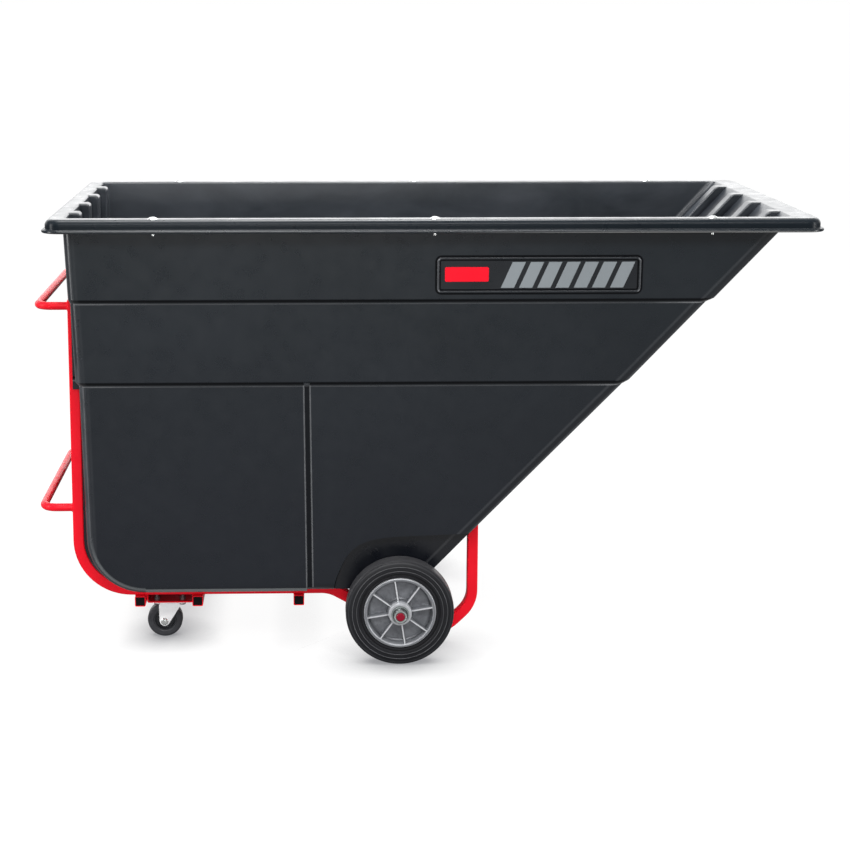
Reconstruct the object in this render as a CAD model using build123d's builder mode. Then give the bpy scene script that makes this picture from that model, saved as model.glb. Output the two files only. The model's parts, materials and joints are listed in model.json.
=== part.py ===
from build123d import *
import math
import os

# Self-dumping tilt truck: a moulded plastic tub on a bent square-tube frame, with two
# large wheels on a fixed axle and two swivel casters at the back.
# Millimetres. +X is the pour end, +Y the left side, +Z up. The ground is Z = 0 and the
# origin lies on it, midway along the length and the width.

os.makedirs("parts", exist_ok=True)

# ---------------------------------------------------------------- driving dimensions
# rim
RIM_TOP = 1056.0
RIM_X0, RIM_X1, RIM_Y = -863.0, 907.0, 425.5      # outer edge of the rim's lip
ROLL_IN = 8.0                                     # the rolled edge stands this far inside the lip
RIM_SKIN = 6.5
LIP_Z0, LIP_Z1 = 1025.8, 1032.4
ROLL_R = 14.0

# tub walls
WALL = 7.0
BAND_A, BAND_A2 = 866.0, 857.0                    # upper step, top and bottom
BAND_B, BAND_B2 = 671.0, 661.0                    # lower step, top and bottom
FLOOR_Z = 158.0
CORNER_R = 22.0
HEEL_R = 135.0                                    # big corner between back wall and floor
TOE_R = 55.0                                      # corner between floor and slope

# half widths of the tub's outside at its section heights
W_TOP, W_A, W_A2, W_B, W_B2, W_FLOOR = 382.1, 373.6, 367.2, 358.9, 352.5, 330.0
# back wall X and slope X at the same heights
XB_TOP, XB_A, XB_A2, XB_B, XB_B2, XB_FLOOR = -819.4, -812.0, -808.5, -802.0, -794.5, -785.5
XF_TOP, XF_A, XF_A2, XF_B, XF_B2, XF_FLOOR = 845.4, 669.4, 652.4, 480.2, 465.7, -16.0

# stiffening ribs (flutes) on the back wall and on the slope
RIB_Y = [-261.0, -87.0, 87.0, 261.0]
RIB_W = 42.0
GROOVE_W = 28.4
RIB_BACK_X = -789.0                               # crest of the back ribs, inside the tub
RIB_SLOPE_H = 20.0                                # crest of the slope ribs above the upper slope's inside

# side panel
PANEL_X0, PANEL_X1, PANEL_Z0, PANEL_Z1 = 28.0, 494.0, 882.0, 965.0

# frame
TUBE, TUBE_T, TUBE_R = 25.4, 2.0, 3.2
RAIL_Y = 260.8
UP_X = -813.3                                     # back upright centreline
RUN_Z = FLOOR_Z - TUBE / 2                        # rail centreline under the tub
CROSS_X = [-669.0, -532.0, -290.0]
CROSS_Z = FLOOR_Z - TUBE * 1.5
CROSS_HALF = 283.5

# axle and wheels
AXLE_X, AXLE_Z, AXLE_R = -53.0, 127.0, 9.525
AXLE_HALF = 425.0
WHEEL_R = 127.0
WHEEL_Y = 374.5
HUB_R = 85.0

# casters
CAS_Y = 187.0
KING_X = -603.0
CAS_X = -618.0
CAS_R = 42.5
CAS_W = 30.0


# ---------------------------------------------------------------- helpers
def lerp_band(z, z_hi, z_lo, hi, lo):
    return lo + (hi - lo) * (z - z_lo) / (z_hi - z_lo)


def block(profile, z_hi, z_lo, w_hi, w_lo):
    """Prism with the given side profile, its side walls leaning from w_lo to w_hi."""
    with BuildPart() as body:
        with BuildSketch(Plane.XZ):
            with BuildLine():
                Polyline(*profile, close=True)
            make_face()
        extrude(amount=600, both=True)
        with BuildSketch(Plane.YZ):
            with BuildLine():
                Polyline((-w_lo, z_lo), (w_lo, z_lo), (w_hi, z_hi), (-w_hi, z_hi), close=True)
            make_face()
        extrude(amount=1400, both=True, mode=Mode.INTERSECT)
    return body.part


def slope_x(z, xf_hi, xf_lo, z_hi, z_lo, inset):
    """X of the slope's surface, moved inward by inset at right angles to it."""
    run, rise = xf_hi - xf_lo, z_hi - z_lo
    x = xf_lo + run * (z - z_lo) / rise
    return x - inset * math.hypot(run, rise) / rise


def section_block(z_hi, z_lo, xb, xf, w, inset, radius, top_extra=0.0):
    """One band of the tub between two heights, its four upright corners rounded."""
    zt = z_hi + top_extra
    xb_t = lerp_band(zt, z_hi, z_lo, xb[0], xb[1]) + inset
    xb_b = xb[1] + inset
    xf_t = slope_x(zt, xf[0], xf[1], z_hi, z_lo, inset)
    xf_b = slope_x(z_lo, xf[0], xf[1], z_hi, z_lo, inset)
    w_t = lerp_band(zt, z_hi, z_lo, w[0], w[1]) - inset
    w_b = w[1] - inset
    solid = block([(xb_b, z_lo), (xf_b, z_lo), (xf_t, zt), (xb_t, zt)], zt, z_lo, w_t, w_b)
    with BuildPart() as band:
        add(solid)
        upright = [e for e in band.edges()
                   if abs((e @ 1).Z - (e @ 0).Z) > 1.0]
        fillet(upright, radius)
    return band.part


def lower_block(inset, radius):
    """The lowest band, with the big heel corner, the toe corner and rounded long edges."""
    z_lo = FLOOR_Z + inset
    xb_hi = XB_B2 + inset
    xb_lo = lerp_band(z_lo, BAND_B2, FLOOR_Z, XB_B2, XB_FLOOR) + inset
    xf_hi = slope_x(BAND_B2, XF_B2, XF_FLOOR, BAND_B2, FLOOR_Z, inset)
    xf_lo = slope_x(z_lo, XF_B2, XF_FLOOR, BAND_B2, FLOOR_Z, inset)
    w_hi = W_B2 - inset
    w_lo = lerp_band(z_lo, BAND_B2, FLOOR_Z, W_B2, W_FLOOR) - inset
    with BuildPart() as low:
        with BuildSketch(Plane.XZ) as side:
            with BuildLine():
                Polyline((xb_lo, z_lo), (xf_lo, z_lo), (xf_hi, BAND_B2), (xb_hi, BAND_B2), close=True)
            make_face()
            heel = side.vertices().sort_by(Axis.Y)[:2].sort_by(Axis.X)[0]
            fillet(heel, HEEL_R - inset)
            toe = side.vertices().filter_by_position(Axis.Y, z_lo - 0.1, z_lo + 0.1).sort_by(Axis.X)[-1]
            fillet(toe, TOE_R - inset)
        extrude(amount=600, both=True)
        with BuildSketch(Plane.YZ):
            with BuildLine():
                Polyline((-w_lo, z_lo), (w_lo, z_lo), (w_hi, BAND_B2), (-w_hi, BAND_B2), close=True)
            make_face()
        extrude(amount=1400, both=True, mode=Mode.INTERSECT)
        sides = low.faces().filter_by(lambda f: abs(f.normal_at().Y) > 0.9)
        chain = [e for f in sides for e in f.edges() if e.center().Z < BAND_B2 - 1.0]
        fillet(chain, radius)
    return low.part


def face_at(solid, z):
    return solid.faces().filter_by(Axis.Z).filter_by_position(Axis.Z, z - 0.05, z + 0.05)[0]


def tub_form(inset, radius, top_extra=0.0):
    """The tub's outer form (inset 0) or its hollow (inset = wall)."""
    upper = section_block(RIM_TOP, BAND_A, (XB_TOP, XB_A), (XF_TOP, XF_A), (W_TOP, W_A),
                          inset, radius, top_extra)
    middle = section_block(BAND_A2, BAND_B, (XB_A2, XB_B), (XF_A2, XF_B), (W_A2, W_B), inset, radius)
    lower = lower_block(inset, radius)
    with BuildPart() as form:
        add(upper)
        add(middle)
        add(lower)
        loft([face_at(upper, BAND_A), face_at(middle, BAND_A2)], ruled=True)
        loft([face_at(middle, BAND_B), face_at(lower, BAND_B2)], ruled=True)
    return form.part


# wheel-arch outline in the side view
ARCH = [(-212.0, 140.0), (-209.0, 160.0), (-201.0, 193.0), (-189.0, 221.0), (-174.0, 248.0),
        (-158.0, 265.0), (-140.0, 277.0), (-120.0, 284.0), (-88.0, 290.0), (-54.0, 293.0), (101.0, 299.0)]


def arch_points(grow):
    """The arch's outline moved outward by grow."""
    moved = []
    for k, (x, z) in enumerate(ARCH):
        x0, z0 = ARCH[max(k - 1, 0)]
        x1, z1 = ARCH[min(k + 1, len(ARCH) - 1)]
        length = math.hypot(x1 - x0, z1 - z0)
        moved.append((x - (z1 - z0) / length * grow, z + (x1 - x0) / length * grow))
    return moved


def arch_block(grow, floor_y):
    """Block that makes the wheel-arch recess on the right side, its floor at Y = -floor_y.
    Its walls open outward like the moulding's draft."""
    with BuildPart() as arch:
        for depth, g in ((0.0, grow - 4.5), (110.0, grow + 20.0)):
            pts = arch_points(g)
            with BuildSketch(Plane.XZ.offset(floor_y + depth)):
                with BuildLine():
                    Spline(*pts[:10])
                    Line(pts[9], (300.0, pts[9][1] + 13.0))
                    Line((300.0, pts[9][1] + 13.0), (300.0, 100.0))
                    Line((300.0, 100.0), (pts[0][0], 100.0))
                    Line((pts[0][0], 100.0), pts[0])
                make_face()
        loft(ruled=True)
    return arch.part


# ---------------------------------------------------------------- tub
outer_form = tub_form(0.0, CORNER_R)
ARCH_Y = 315.0
arch_outer = arch_block(0.0, ARCH_Y)
arch_inner = arch_block(WALL, ARCH_Y - WALL)
with BuildPart() as hollow:
    add(tub_form(WALL, CORNER_R - WALL, 12.0))
    add(arch_inner, mode=Mode.SUBTRACT)
    mirror(arch_inner, about=Plane.XZ, mode=Mode.SUBTRACT)

with BuildPart() as rim:
    # rolled edge and top ledge
    with BuildSketch(Plane.XY.offset(LIP_Z0 + 2.0)):
        with Locations(((RIM_X0 + RIM_X1) / 2, 0)):
            RectangleRounded(RIM_X1 - RIM_X0 - 2 * ROLL_IN, 2 * (RIM_Y - ROLL_IN), 36)
    extrude(amount=RIM_TOP - LIP_Z0 - 2.0)
    fillet(rim.faces().sort_by(Axis.Z)[-1].edges(), ROLL_R)
    # small flange at the foot of the roll
    with BuildSketch(Plane.XY.offset(LIP_Z0)):
        with Locations(((RIM_X0 + RIM_X1) / 2, 0)):
            RectangleRounded(RIM_X1 - RIM_X0, 2 * RIM_Y, 44)
    extrude(amount=LIP_Z1 - LIP_Z0)
    lip_edges = rim.edges().filter_by_position(Axis.Z, LIP_Z0 - 0.1, LIP_Z1 + 0.1)
    fillet([e for e in lip_edges
            if abs(e.center().X - 22) > (RIM_X1 - RIM_X0) / 2 - 20 - 25 or abs(e.center().Y) > RIM_Y - 12], 2.6)

# the underside of the rim is an open channel
with BuildPart() as rim_channel:
    with BuildSketch(Plane.XY.offset(LIP_Z0 - 10)):
        with Locations(((RIM_X0 + RIM_X1) / 2, 0)):
            RectangleRounded(RIM_X1 - RIM_X0 - 2 * (ROLL_IN + RIM_SKIN), 2 * (RIM_Y - ROLL_IN - RIM_SKIN), 30)
    extrude(amount=RIM_TOP - RIM_SKIN - LIP_Z0 + 10)
    fillet(rim_channel.faces().sort_by(Axis.Z)[-1].edges(), 8.0)

slope_len = math.hypot(XF_TOP - XF_A, RIM_TOP - BAND_A)
SL_U = ((XF_TOP - XF_A) / slope_len, (RIM_TOP - BAND_A) / slope_len)      # up the slope
SL_N = (SL_U[1], -SL_U[0])                                                # out of the slope


def on_slope(z, inward):
    """Point of the side view at height z, the given distance inside the upper slope's outer face."""
    s = (z - RIM_TOP + SL_N[1] * inward) / SL_U[1]
    return (XF_TOP + SL_U[0] * s - SL_N[0] * inward, z)


with BuildPart() as slope_rib:
    with BuildSketch(Plane.XZ):
        with BuildLine():
            Polyline((XF_TOP + 2, RIM_TOP), on_slope(RIM_TOP, WALL + RIB_SLOPE_H), on_slope(300.0, WALL + RIB_SLOPE_H),
                     on_slope(300.0, WALL / 2 + 19.4), on_slope(BAND_B2, WALL / 2 + 11.0),
                     on_slope(BAND_B, WALL / 2 + 8.0), on_slope(BAND_A2, WALL / 2 + 7.0),
                     on_slope(BAND_A, WALL / 2), on_slope(RIM_TOP - 10, WALL / 2), close=True)
        make_face()
    extrude(amount=RIB_W / 2, both=True)
    bend = slope_rib.edges().filter_by(Axis.Y).filter_by_position(
        Axis.Z, RIM_TOP - 0.1, RIM_TOP + 0.1).sort_by(Axis.X)[0]
    fillet(bend, 14.0)
    crest_face = slope_rib.faces().filter_by(
        lambda f: abs(f.normal_at().X + SL_N[0]) < 0.02 and f.area > 20000).sort_by(Axis.X)[0]
    fillet([e for e in crest_face.edges() if abs((e @ 1).Y - (e @ 0).Y) < 0.1], 4.5)

with BuildPart() as back_rib:
    with Locations(((XB_TOP + 3 + RIB_BACK_X) / 2, 0, (RIM_TOP + 640.0) / 2)):
        Box(RIB_BACK_X - XB_TOP - 3, RIB_W, RIM_TOP - 640.0)
    front = back_rib.faces().sort_by(Axis.X)[-1]
    fillet(front.edges().filter_by(Axis.Y).sort_by(Axis.Z)[-1], 9.0)
    front = back_rib.faces().filter_by(Axis.X).sort_by(Axis.X)[-1]
    fillet(front.edges().filter_by(Axis.Z), 4.5)

with BuildPart() as slope_groove:
    with BuildSketch(Plane.XZ):
        with BuildLine():
            Polyline(on_slope(RIM_TOP - RIM_SKIN - 0.5, RIB_SLOPE_H), on_slope(300.0, RIB_SLOPE_H),
                     (on_slope(300.0, RIB_SLOPE_H)[0] + 80, 300.0),
                     (XF_TOP + 40, RIM_TOP - 60), (XF_TOP + 5, RIM_TOP - RIM_SKIN - 0.5), close=True)
        make_face()
    extrude(amount=GROOVE_W / 2, both=True)

with BuildPart() as back_groove:
    with Locations(((RIB_BACK_X - WALL - 850.0) / 2, 0, (RIM_TOP - RIM_SKIN - 0.5 + 640.0) / 2)):
        Box(850.0 + RIB_BACK_X - WALL, GROOVE_W, RIM_TOP - RIM_SKIN - 0.5 - 640.0)
    fillet(back_groove.faces().sort_by(Axis.X)[-1].edges().filter_by(Axis.Z), 3.0)

# vertical parting groove in the lower side walls
SEAM_TOP_X, SEAM_BOT_X, SEAM_W, SEAM_D = -269.0, -263.0, 13.5, 3.2
side_lean = math.atan2(W_B2 - W_FLOOR, BAND_B2 - FLOOR_Z)
with BuildPart() as seam_cut:
    with BuildSketch(Plane.XZ.offset(-RIM_Y)):
        with BuildLine():
            Polyline((SEAM_BOT_X - SEAM_W / 2, FLOOR_Z - 20), (SEAM_BOT_X + SEAM_W / 2, FLOOR_Z - 20),
                     (SEAM_TOP_X + SEAM_W / 2 + 0.6, BAND_B2 + 12), (SEAM_TOP_X - SEAM_W / 2 - 0.6, BAND_B2 + 12),
                     close=True)
        make_face()
    extrude(amount=150.0)
    # keep only what lies outside the groove's floor, parallel to the leaning wall
    with BuildSketch(Plane.YZ):
        with BuildLine():
            Polyline((W_B2 + 0.6 - SEAM_D, BAND_B2 + 12), (W_FLOOR - 0.8 - SEAM_D, FLOOR_Z - 20),
                     (RIM_Y + 10, FLOOR_Z - 20), (RIM_Y + 10, BAND_B2 + 12), close=True)
        make_face()
    extrude(amount=600, both=True, mode=Mode.INTERSECT)
    floor_face = seam_cut.faces().sort_by(Axis.Y)[0]
    fillet(floor_face.edges().sort_by(Axis.X)[0], 2.0)
    floor_face = seam_cut.faces().sort_by(Axis.Y)[0]

# raised border of the side panel, lying on the leaning upper wall
upper_lean = math.degrees(math.atan2(W_TOP - W_A, RIM_TOP - BAND_A))
panel_cz = (PANEL_Z0 + PANEL_Z1) / 2
panel_cx = (PANEL_X0 + PANEL_X1) / 2
panel_w = lerp_band(panel_cz, RIM_TOP, BAND_A, W_TOP, W_A)
panel_plane = Plane(origin=(panel_cx, -panel_w, panel_cz), x_dir=(1, 0, 0),
                    z_dir=(0, -math.cos(math.radians(upper_lean)), -math.sin(math.radians(upper_lean))))
with BuildPart() as panel_border:
    with BuildSketch(panel_plane.offset(-1.5)):
        RectangleRounded(PANEL_X1 - PANEL_X0, PANEL_Z1 - PANEL_Z0, 11)
        RectangleRounded(PANEL_X1 - PANEL_X0 - 11, PANEL_Z1 - PANEL_Z0 - 11, 6.5, mode=Mode.SUBTRACT)
    extrude(amount=1.5 + 3.0)
    top = panel_border.faces().filter_by(lambda f: abs(f.normal_at().Y) > 0.99).sort_by(Axis.Y)[0]
    fillet(top.edges(), 1.9)

# bolts through the rim, its reinforcing frame and the tub
RIM_BOLT_X = [-612.0, 21.0, 650.0]
RIM_BOLT_Y = 396.5
FLOOR_SCREWS = [(-610.0, RAIL_Y), (-330.0, RAIL_Y), (-610.0, -RAIL_Y), (-330.0, -RAIL_Y)]
BACK_BOLTS = [(700.0, RAIL_Y), (800.0, RAIL_Y), (700.0, -RAIL_Y), (800.0, -RAIL_Y)]

# moulded pads that seat the tub's lower back and heel on the two side rails
SEAT_W = 21.0
SEAT_BEND = 124.0                                 # centreline radius of the rail's heel bend
SEAT_R = SEAT_BEND - TUBE / 2 - 0.5
SEAT_CX, SEAT_CZ = UP_X + SEAT_BEND, RUN_Z + SEAT_BEND
with BuildPart() as rail_seat:
    with BuildSketch(Plane.XZ):
        with BuildLine():
            Polyline((SEAT_CX, SEAT_CZ - SEAT_R), (-680.0, 166.0), (-770.0, 300.0), (-785.0, 652.0),
                     (SEAT_CX - SEAT_R, 630.0), (SEAT_CX - SEAT_R, SEAT_CZ))
            ThreePointArc((SEAT_CX - SEAT_R, SEAT_CZ),
                          (SEAT_CX - SEAT_R * math.sqrt(0.5), SEAT_CZ - SEAT_R * math.sqrt(0.5)),
                          (SEAT_CX, SEAT_CZ - SEAT_R))
        make_face()
    extrude(amount=SEAT_W / 2, both=True)

# the side walls hang lower than the rails' top from the heel to the parting groove
SKIRT_DROP = 5.0
with BuildPart() as skirt:
    add(lower_block(0.0, CORNER_R).moved(Location((0.25, 0.33, -SKIRT_DROP))))
    with Locations(((-900.0 + SEAM_BOT_X - SEAM_W / 2 - 0.75) / 2, -340.0, 225.0)):
        Box(900.0 + SEAM_BOT_X - SEAM_W / 2 - 0.75, 122.0, 150.0, mode=Mode.INTERSECT)

with BuildPart() as tub_shell:
    add(rim.part)
    add(rim_channel.part, mode=Mode.SUBTRACT)
    add(outer_form)
    # moulded steps are softened on their outside corners
    for level in (BAND_A, BAND_B):
        ring = [e for e in tub_shell.edges().filter_by_position(Axis.Z, level - 0.05, level + 0.05)]
        fillet(ring, 3.0)
    for sgn in (-1, 1):
        with Locations((0, sgn * RAIL_Y, 0)):
            add(rail_seat.part)
    add(skirt.part)
    mirror(skirt.part, about=Plane.XZ)
    add(hollow.part, mode=Mode.SUBTRACT)
    mouth = tub_shell.faces().filter_by(Axis.Z).sort_by(Axis.Z)[-1].inner_wires()[0].edges()
    fillet(mouth, 5.5)
    for y in RIB_Y:
        with Locations((0, y, 0)):
            add(back_rib.part)
            add(slope_rib.part)
    for y in RIB_Y:
        with Locations((0, y, 0)):
            add(back_groove.part, mode=Mode.SUBTRACT)
            add(slope_groove.part, mode=Mode.SUBTRACT)
    # wheel arches, parting grooves and panel borders on both sides
    add(arch_outer, mode=Mode.SUBTRACT)
    mirror(arch_outer, about=Plane.XZ, mode=Mode.SUBTRACT)
    add(seam_cut.part, mode=Mode.SUBTRACT)
    mirror(seam_cut.part, about=Plane.XZ, mode=Mode.SUBTRACT)
    add(panel_border.part)
    mirror(panel_border.part, about=Plane.XZ)
    # rim bolt holes
    with Locations([(x, s * RIM_BOLT_Y, RIM_TOP - 10) for x in RIM_BOLT_X for s in (-1, 1)]):
        Cylinder(3.2, 40, mode=Mode.SUBTRACT)
    # floor screw holes
    with Locations([(x, y, FLOOR_Z) for x, y in FLOOR_SCREWS]):
        Cylinder(1.93, 40, mode=Mode.SUBTRACT)
    # back bolt holes, through the outer ribs
    with Locations([(RIB_BACK_X, y, z) for z, y in BACK_BOLTS]):
        Cylinder(4.3, 40, rotation=(0, 90, 0), mode=Mode.SUBTRACT)
tub_shell.part.label = "tub_shell"
export_step(tub_shell.part, "parts/tub_shell.step")


# ---------------------------------------------------------------- frame helpers
def save(builder, name):
    builder.part.label = name
    export_step(builder.part, "parts/" + name + ".step")


def mirrored(part):
    """The same piece on the other side of the truck."""
    with BuildPart() as other:
        mirror(part, about=Plane.XZ)
    return other


def tube_section(plane, solid=False):
    with BuildSketch(plane) as section:
        RectangleRounded(TUBE, TUBE, TUBE_R)
        if not solid:
            RectangleRounded(TUBE - 2 * TUBE_T, TUBE - 2 * TUBE_T, TUBE_R - TUBE_T, mode=Mode.SUBTRACT)
    return section.sketch


# ---------------------------------------------------------------- bent side rails
RAIL_PTS = [(UP_X, 850.0), (UP_X, RUN_Z), (-215.3, RUN_Z), (28.6, 8.6), (127.5, 104.1), (127.5, 360.0)]
RAIL_RADII = [124.0, 80.0, 108.0, 78.0]

with BuildLine(Plane.XZ.offset(RAIL_Y)) as rail_path:
    FilletPolyline(*RAIL_PTS, radius=RAIL_RADII)
rail_wire = rail_path.wire()
rail_start = Plane(origin=rail_wire @ 0, z_dir=rail_wire % 0, x_dir=(1, 0, 0))

with BuildPart() as rail_envelope:
    add(tube_section(rail_start, solid=True))
    sweep(path=rail_wire)

SADDLE_T = 4.0
slope_low_u = ((XF_B2 - XF_FLOOR), (BAND_B2 - FLOOR_Z))
slope_low_l = math.hypot(*slope_low_u)
slope_low_u = (slope_low_u[0] / slope_low_l, slope_low_u[1] / slope_low_l)
slope_low_n = (slope_low_u[1], -slope_low_u[0])
slope_pt = (XF_FLOOR, FLOOR_Z)


def under_slope(x, gap):
    """Height at x of the line that lies gap outside the lower slope."""
    return slope_pt[1] + (x - slope_pt[0]) * slope_low_u[1] / slope_low_u[0] - gap / slope_low_u[0]



with BuildPart() as side_rail_right:
    add(tube_section(rail_start))
    sweep(path=rail_wire)
    with BuildSketch(Plane.XZ.offset(RAIL_Y - 30)):
        with BuildLine():
            Polyline((95.0, under_slope(95.0, SADDLE_T)), (165.0, under_slope(165.0, SADDLE_T)), (165.0, 430.0),
                     (95.0, 430.0), close=True)
        make_face()
    extrude(amount=60.0, mode=Mode.SUBTRACT)
    # bolt holes: in the top wall of the run under the floor, and in the front wall of the upright
    with Locations([(x, y, FLOOR_Z) for x, y in FLOOR_SCREWS if y < 0]):
        Cylinder(1.85, 12.0, mode=Mode.SUBTRACT)
    with Locations([(UP_X + TUBE / 2, y, z) for z, y in BACK_BOLTS if y < 0]):
        Cylinder(4.2, TUBE, rotation=(0, 90, 0), mode=Mode.SUBTRACT)
side_rail_left = mirrored(side_rail_right.part)
save(side_rail_right, "side_rail_right")
save(side_rail_left, "side_rail_left")

# ---------------------------------------------------------------- cross tubes and plugs
for name, x in zip(("cross_tube_rear", "cross_tube_caster", "cross_tube_middle"), CROSS_X):
    with BuildPart() as cross:
        with BuildSketch(Plane(origin=(x, CROSS_HALF, CROSS_Z), x_dir=(1, 0, 0), z_dir=(0, -1, 0))):
            RectangleRounded(TUBE, TUBE, TUBE_R)
            RectangleRounded(TUBE - 2 * TUBE_T, TUBE - 2 * TUBE_T, TUBE_R - TUBE_T, mode=Mode.SUBTRACT)
        extrude(amount=2 * CROSS_HALF)
    save(cross, name)


def plug(plane):
    """Ribbed plastic plug pushed into a square tube end; plane sits on the tube's end, facing out."""
    inner = TUBE - 2 * TUBE_T - 0.1
    with BuildPart() as piece:
        with BuildSketch(plane.offset(-4.0)):
            RectangleRounded(inner, inner, TUBE_R - TUBE_T)
        extrude(amount=3.0)
        with BuildSketch(plane.offset(-16.0)):
            RectangleRounded(inner - 1.6, inner - 1.6, 1.0)
            RectangleRounded(inner - 6.0, inner - 6.0, 0.6, mode=Mode.SUBTRACT)
        extrude(amount=12.0)
        for depth in (7.5, 11.5, 15.0):
            with BuildSketch(plane.offset(-depth)):
                RectangleRounded(inner, inner, TUBE_R - TUBE_T)
                RectangleRounded(inner - 6.0, inner - 6.0, 0.6, mode=Mode.SUBTRACT)
            extrude(amount=1.0)
    return piece.part


with BuildPart() as cross_tube_plugs:
    for x in CROSS_X:
        for sgn in (-1, 1):
            add(plug(Plane(origin=(x, sgn * CROSS_HALF, CROSS_Z), x_dir=(1, 0, 0), z_dir=(0, sgn, 0))))
save(cross_tube_plugs, "cross_tube_plugs")

with BuildPart() as upright_plugs:
    for sgn in (-1, 1):
        add(plug(Plane(origin=(UP_X, sgn * RAIL_Y, 850.0), x_dir=(1, 0, 0), z_dir=(0, 0, 1))))
save(upright_plugs, "upright_plugs")

# ---------------------------------------------------------------- front saddle under the slope
with BuildPart() as front_saddle:
    along = (127.5 - slope_pt[0]) / slope_low_u[0]
    with BuildSketch(Plane(origin=(127.5, 0, slope_pt[1] + slope_low_u[1] * along), x_dir=(0, 1, 0),
                           z_dir=(slope_low_n[0], 0, slope_low_n[1]))):
        RectangleRounded(2 * (RAIL_Y + TUBE / 2), 35.0, 3.0)
        with Locations((-150, 0), (0, 0), (150, 0)):
            Circle(4.3, mode=Mode.SUBTRACT)
    extrude(amount=SADDLE_T)
save(front_saddle, "front_saddle")

# ---------------------------------------------------------------- caster channel
CHAN_X0, CHAN_X1 = CROSS_X[0] + TUBE / 2, CROSS_X[1] - TUBE / 2
CHAN_Z, CHAN_T, CHAN_HALF = 102.5, 3.0, 245.0
PLATE_X, PLATE_Y, PLATE_T = 79.0, 105.0, 4.0
HOLE_X, HOLE_Y = 62.0, 84.0
with BuildPart() as caster_channel:
    with BuildSketch(Plane.XZ.offset(-CHAN_HALF)) as chan_sec:
        with BuildLine():
            FilletPolyline((CHAN_X0 + CHAN_T / 2, 126.0), (CHAN_X0 + CHAN_T / 2, CHAN_Z + CHAN_T / 2),
                           (CHAN_X1 - CHAN_T / 2, CHAN_Z + CHAN_T / 2), (CHAN_X1 - CHAN_T / 2, 126.0), radius=3.5)
            offset(amount=CHAN_T / 2, side=Side.BOTH, kind=Kind.ARC)
        make_face()
    extrude(amount=2 * CHAN_HALF)
    for sgn in (-1, 1):
        with Locations((KING_X, sgn * CAS_Y, CHAN_Z)):
            with GridLocations(HOLE_X, HOLE_Y, 2, 2):
                Hole(4.4, depth=20)
            Hole(8.0, depth=20)
save(caster_channel, "caster_channel")

# ---------------------------------------------------------------- push handles
HANDLE_X, HANDLE_R, HANDLE_BEND = -897.5, 9.5, 32.0
for name, z in (("handle_upper", 835.0), ("handle_lower", 348.0)):
    with BuildLine() as grip_line:
        FilletPolyline((UP_X - TUBE / 2, -RAIL_Y, z), (HANDLE_X, -RAIL_Y, z), (HANDLE_X, RAIL_Y, z),
                       (UP_X - TUBE / 2, RAIL_Y, z), radius=HANDLE_BEND)
    with BuildPart() as handle:
        with BuildSketch(Plane(origin=(UP_X - TUBE / 2, -RAIL_Y, z), z_dir=(-1, 0, 0))):
            Circle(HANDLE_R)
            Circle(HANDLE_R - 2.0, mode=Mode.SUBTRACT)
        sweep(path=grip_line.wire())
    save(handle, name)

# ---------------------------------------------------------------- rim reinforcing frame
RF = 19.0
RF_Z = RIM_TOP - RIM_SKIN - RF / 2 - 0.3
RF_X = 868.0
with BuildLine(Plane.XY.offset(RF_Z)) as rf_line:
    FilletPolyline((-800.0, -RIM_BOLT_Y), (RF_X, -RIM_BOLT_Y), (RF_X, RIM_BOLT_Y), (-800.0, RIM_BOLT_Y), radius=26.0)
with BuildPart() as rim_frame:
    with BuildSketch(Plane(origin=(-800.0, -RIM_BOLT_Y, RF_Z), x_dir=(0, 1, 0), z_dir=(1, 0, 0))):
        RectangleRounded(RF, RF, 2.4)
        RectangleRounded(RF - 3.2, RF - 3.2, 1.0, mode=Mode.SUBTRACT)
    sweep(path=rf_line.wire())
    with Locations([(x, s * RIM_BOLT_Y, RF_Z) for x in RIM_BOLT_X for s in (-1, 1)]):
        Cylinder(3.2, 40, mode=Mode.SUBTRACT)
save(rim_frame, "rim_frame")

with BuildPart() as rim_bolts:
    for x in RIM_BOLT_X:
        for sgn in (-1, 1):
            # shallow domed head, a cap of a sphere, on a plain shank
            with Locations((x, sgn * RIM_BOLT_Y, RIM_TOP)):
                Sphere(16.0, arc_size1=42.5, arc_size2=90, align=(Align.CENTER, Align.CENTER, Align.MIN))
            with Locations((x, sgn * RIM_BOLT_Y, 1018.0)):
                Cylinder(3.0, RIM_TOP - 1018.0, align=(Align.CENTER, Align.CENTER, Align.MIN))
save(rim_bolts, "rim_bolts")

NUT_TOP = RF_Z - RF / 2
with BuildPart() as rim_nuts:
    for x in RIM_BOLT_X:
        for sgn in (-1, 1):
            with BuildSketch(Plane.XY.offset(NUT_TOP - 5.6)):
                with Locations((x, sgn * RIM_BOLT_Y)):
                    RegularPolygon(5.0, 6, major_radius=False)
                    Circle(3.02, mode=Mode.SUBTRACT)
            extrude(amount=5.6)
save(rim_nuts, "rim_nuts")

# ---------------------------------------------------------------- tub fasteners
# floor screws: thread-cutting screws with load washers inside, into the rails' top walls
IN_FLOOR = FLOOR_Z + WALL
SCREW_END = FLOOR_Z - 12.0
with BuildPart() as floor_screws:
    for x, y in FLOOR_SCREWS:
        with Locations((x, y, IN_FLOOR + 2.0)):
            Cone(5.2, 3.4, 2.8, align=(Align.CENTER, Align.CENTER, Align.MIN))
        with Locations((x, y, SCREW_END)):
            Cylinder(1.75, IN_FLOOR + 2.0 - SCREW_END, align=(Align.CENTER, Align.CENTER, Align.MIN))
        with Locations((x, y, SCREW_END)):
            Cone(0.3, 1.75, 2.6, align=(Align.CENTER, Align.CENTER, Align.MAX))
save(floor_screws, "floor_screws")

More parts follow.
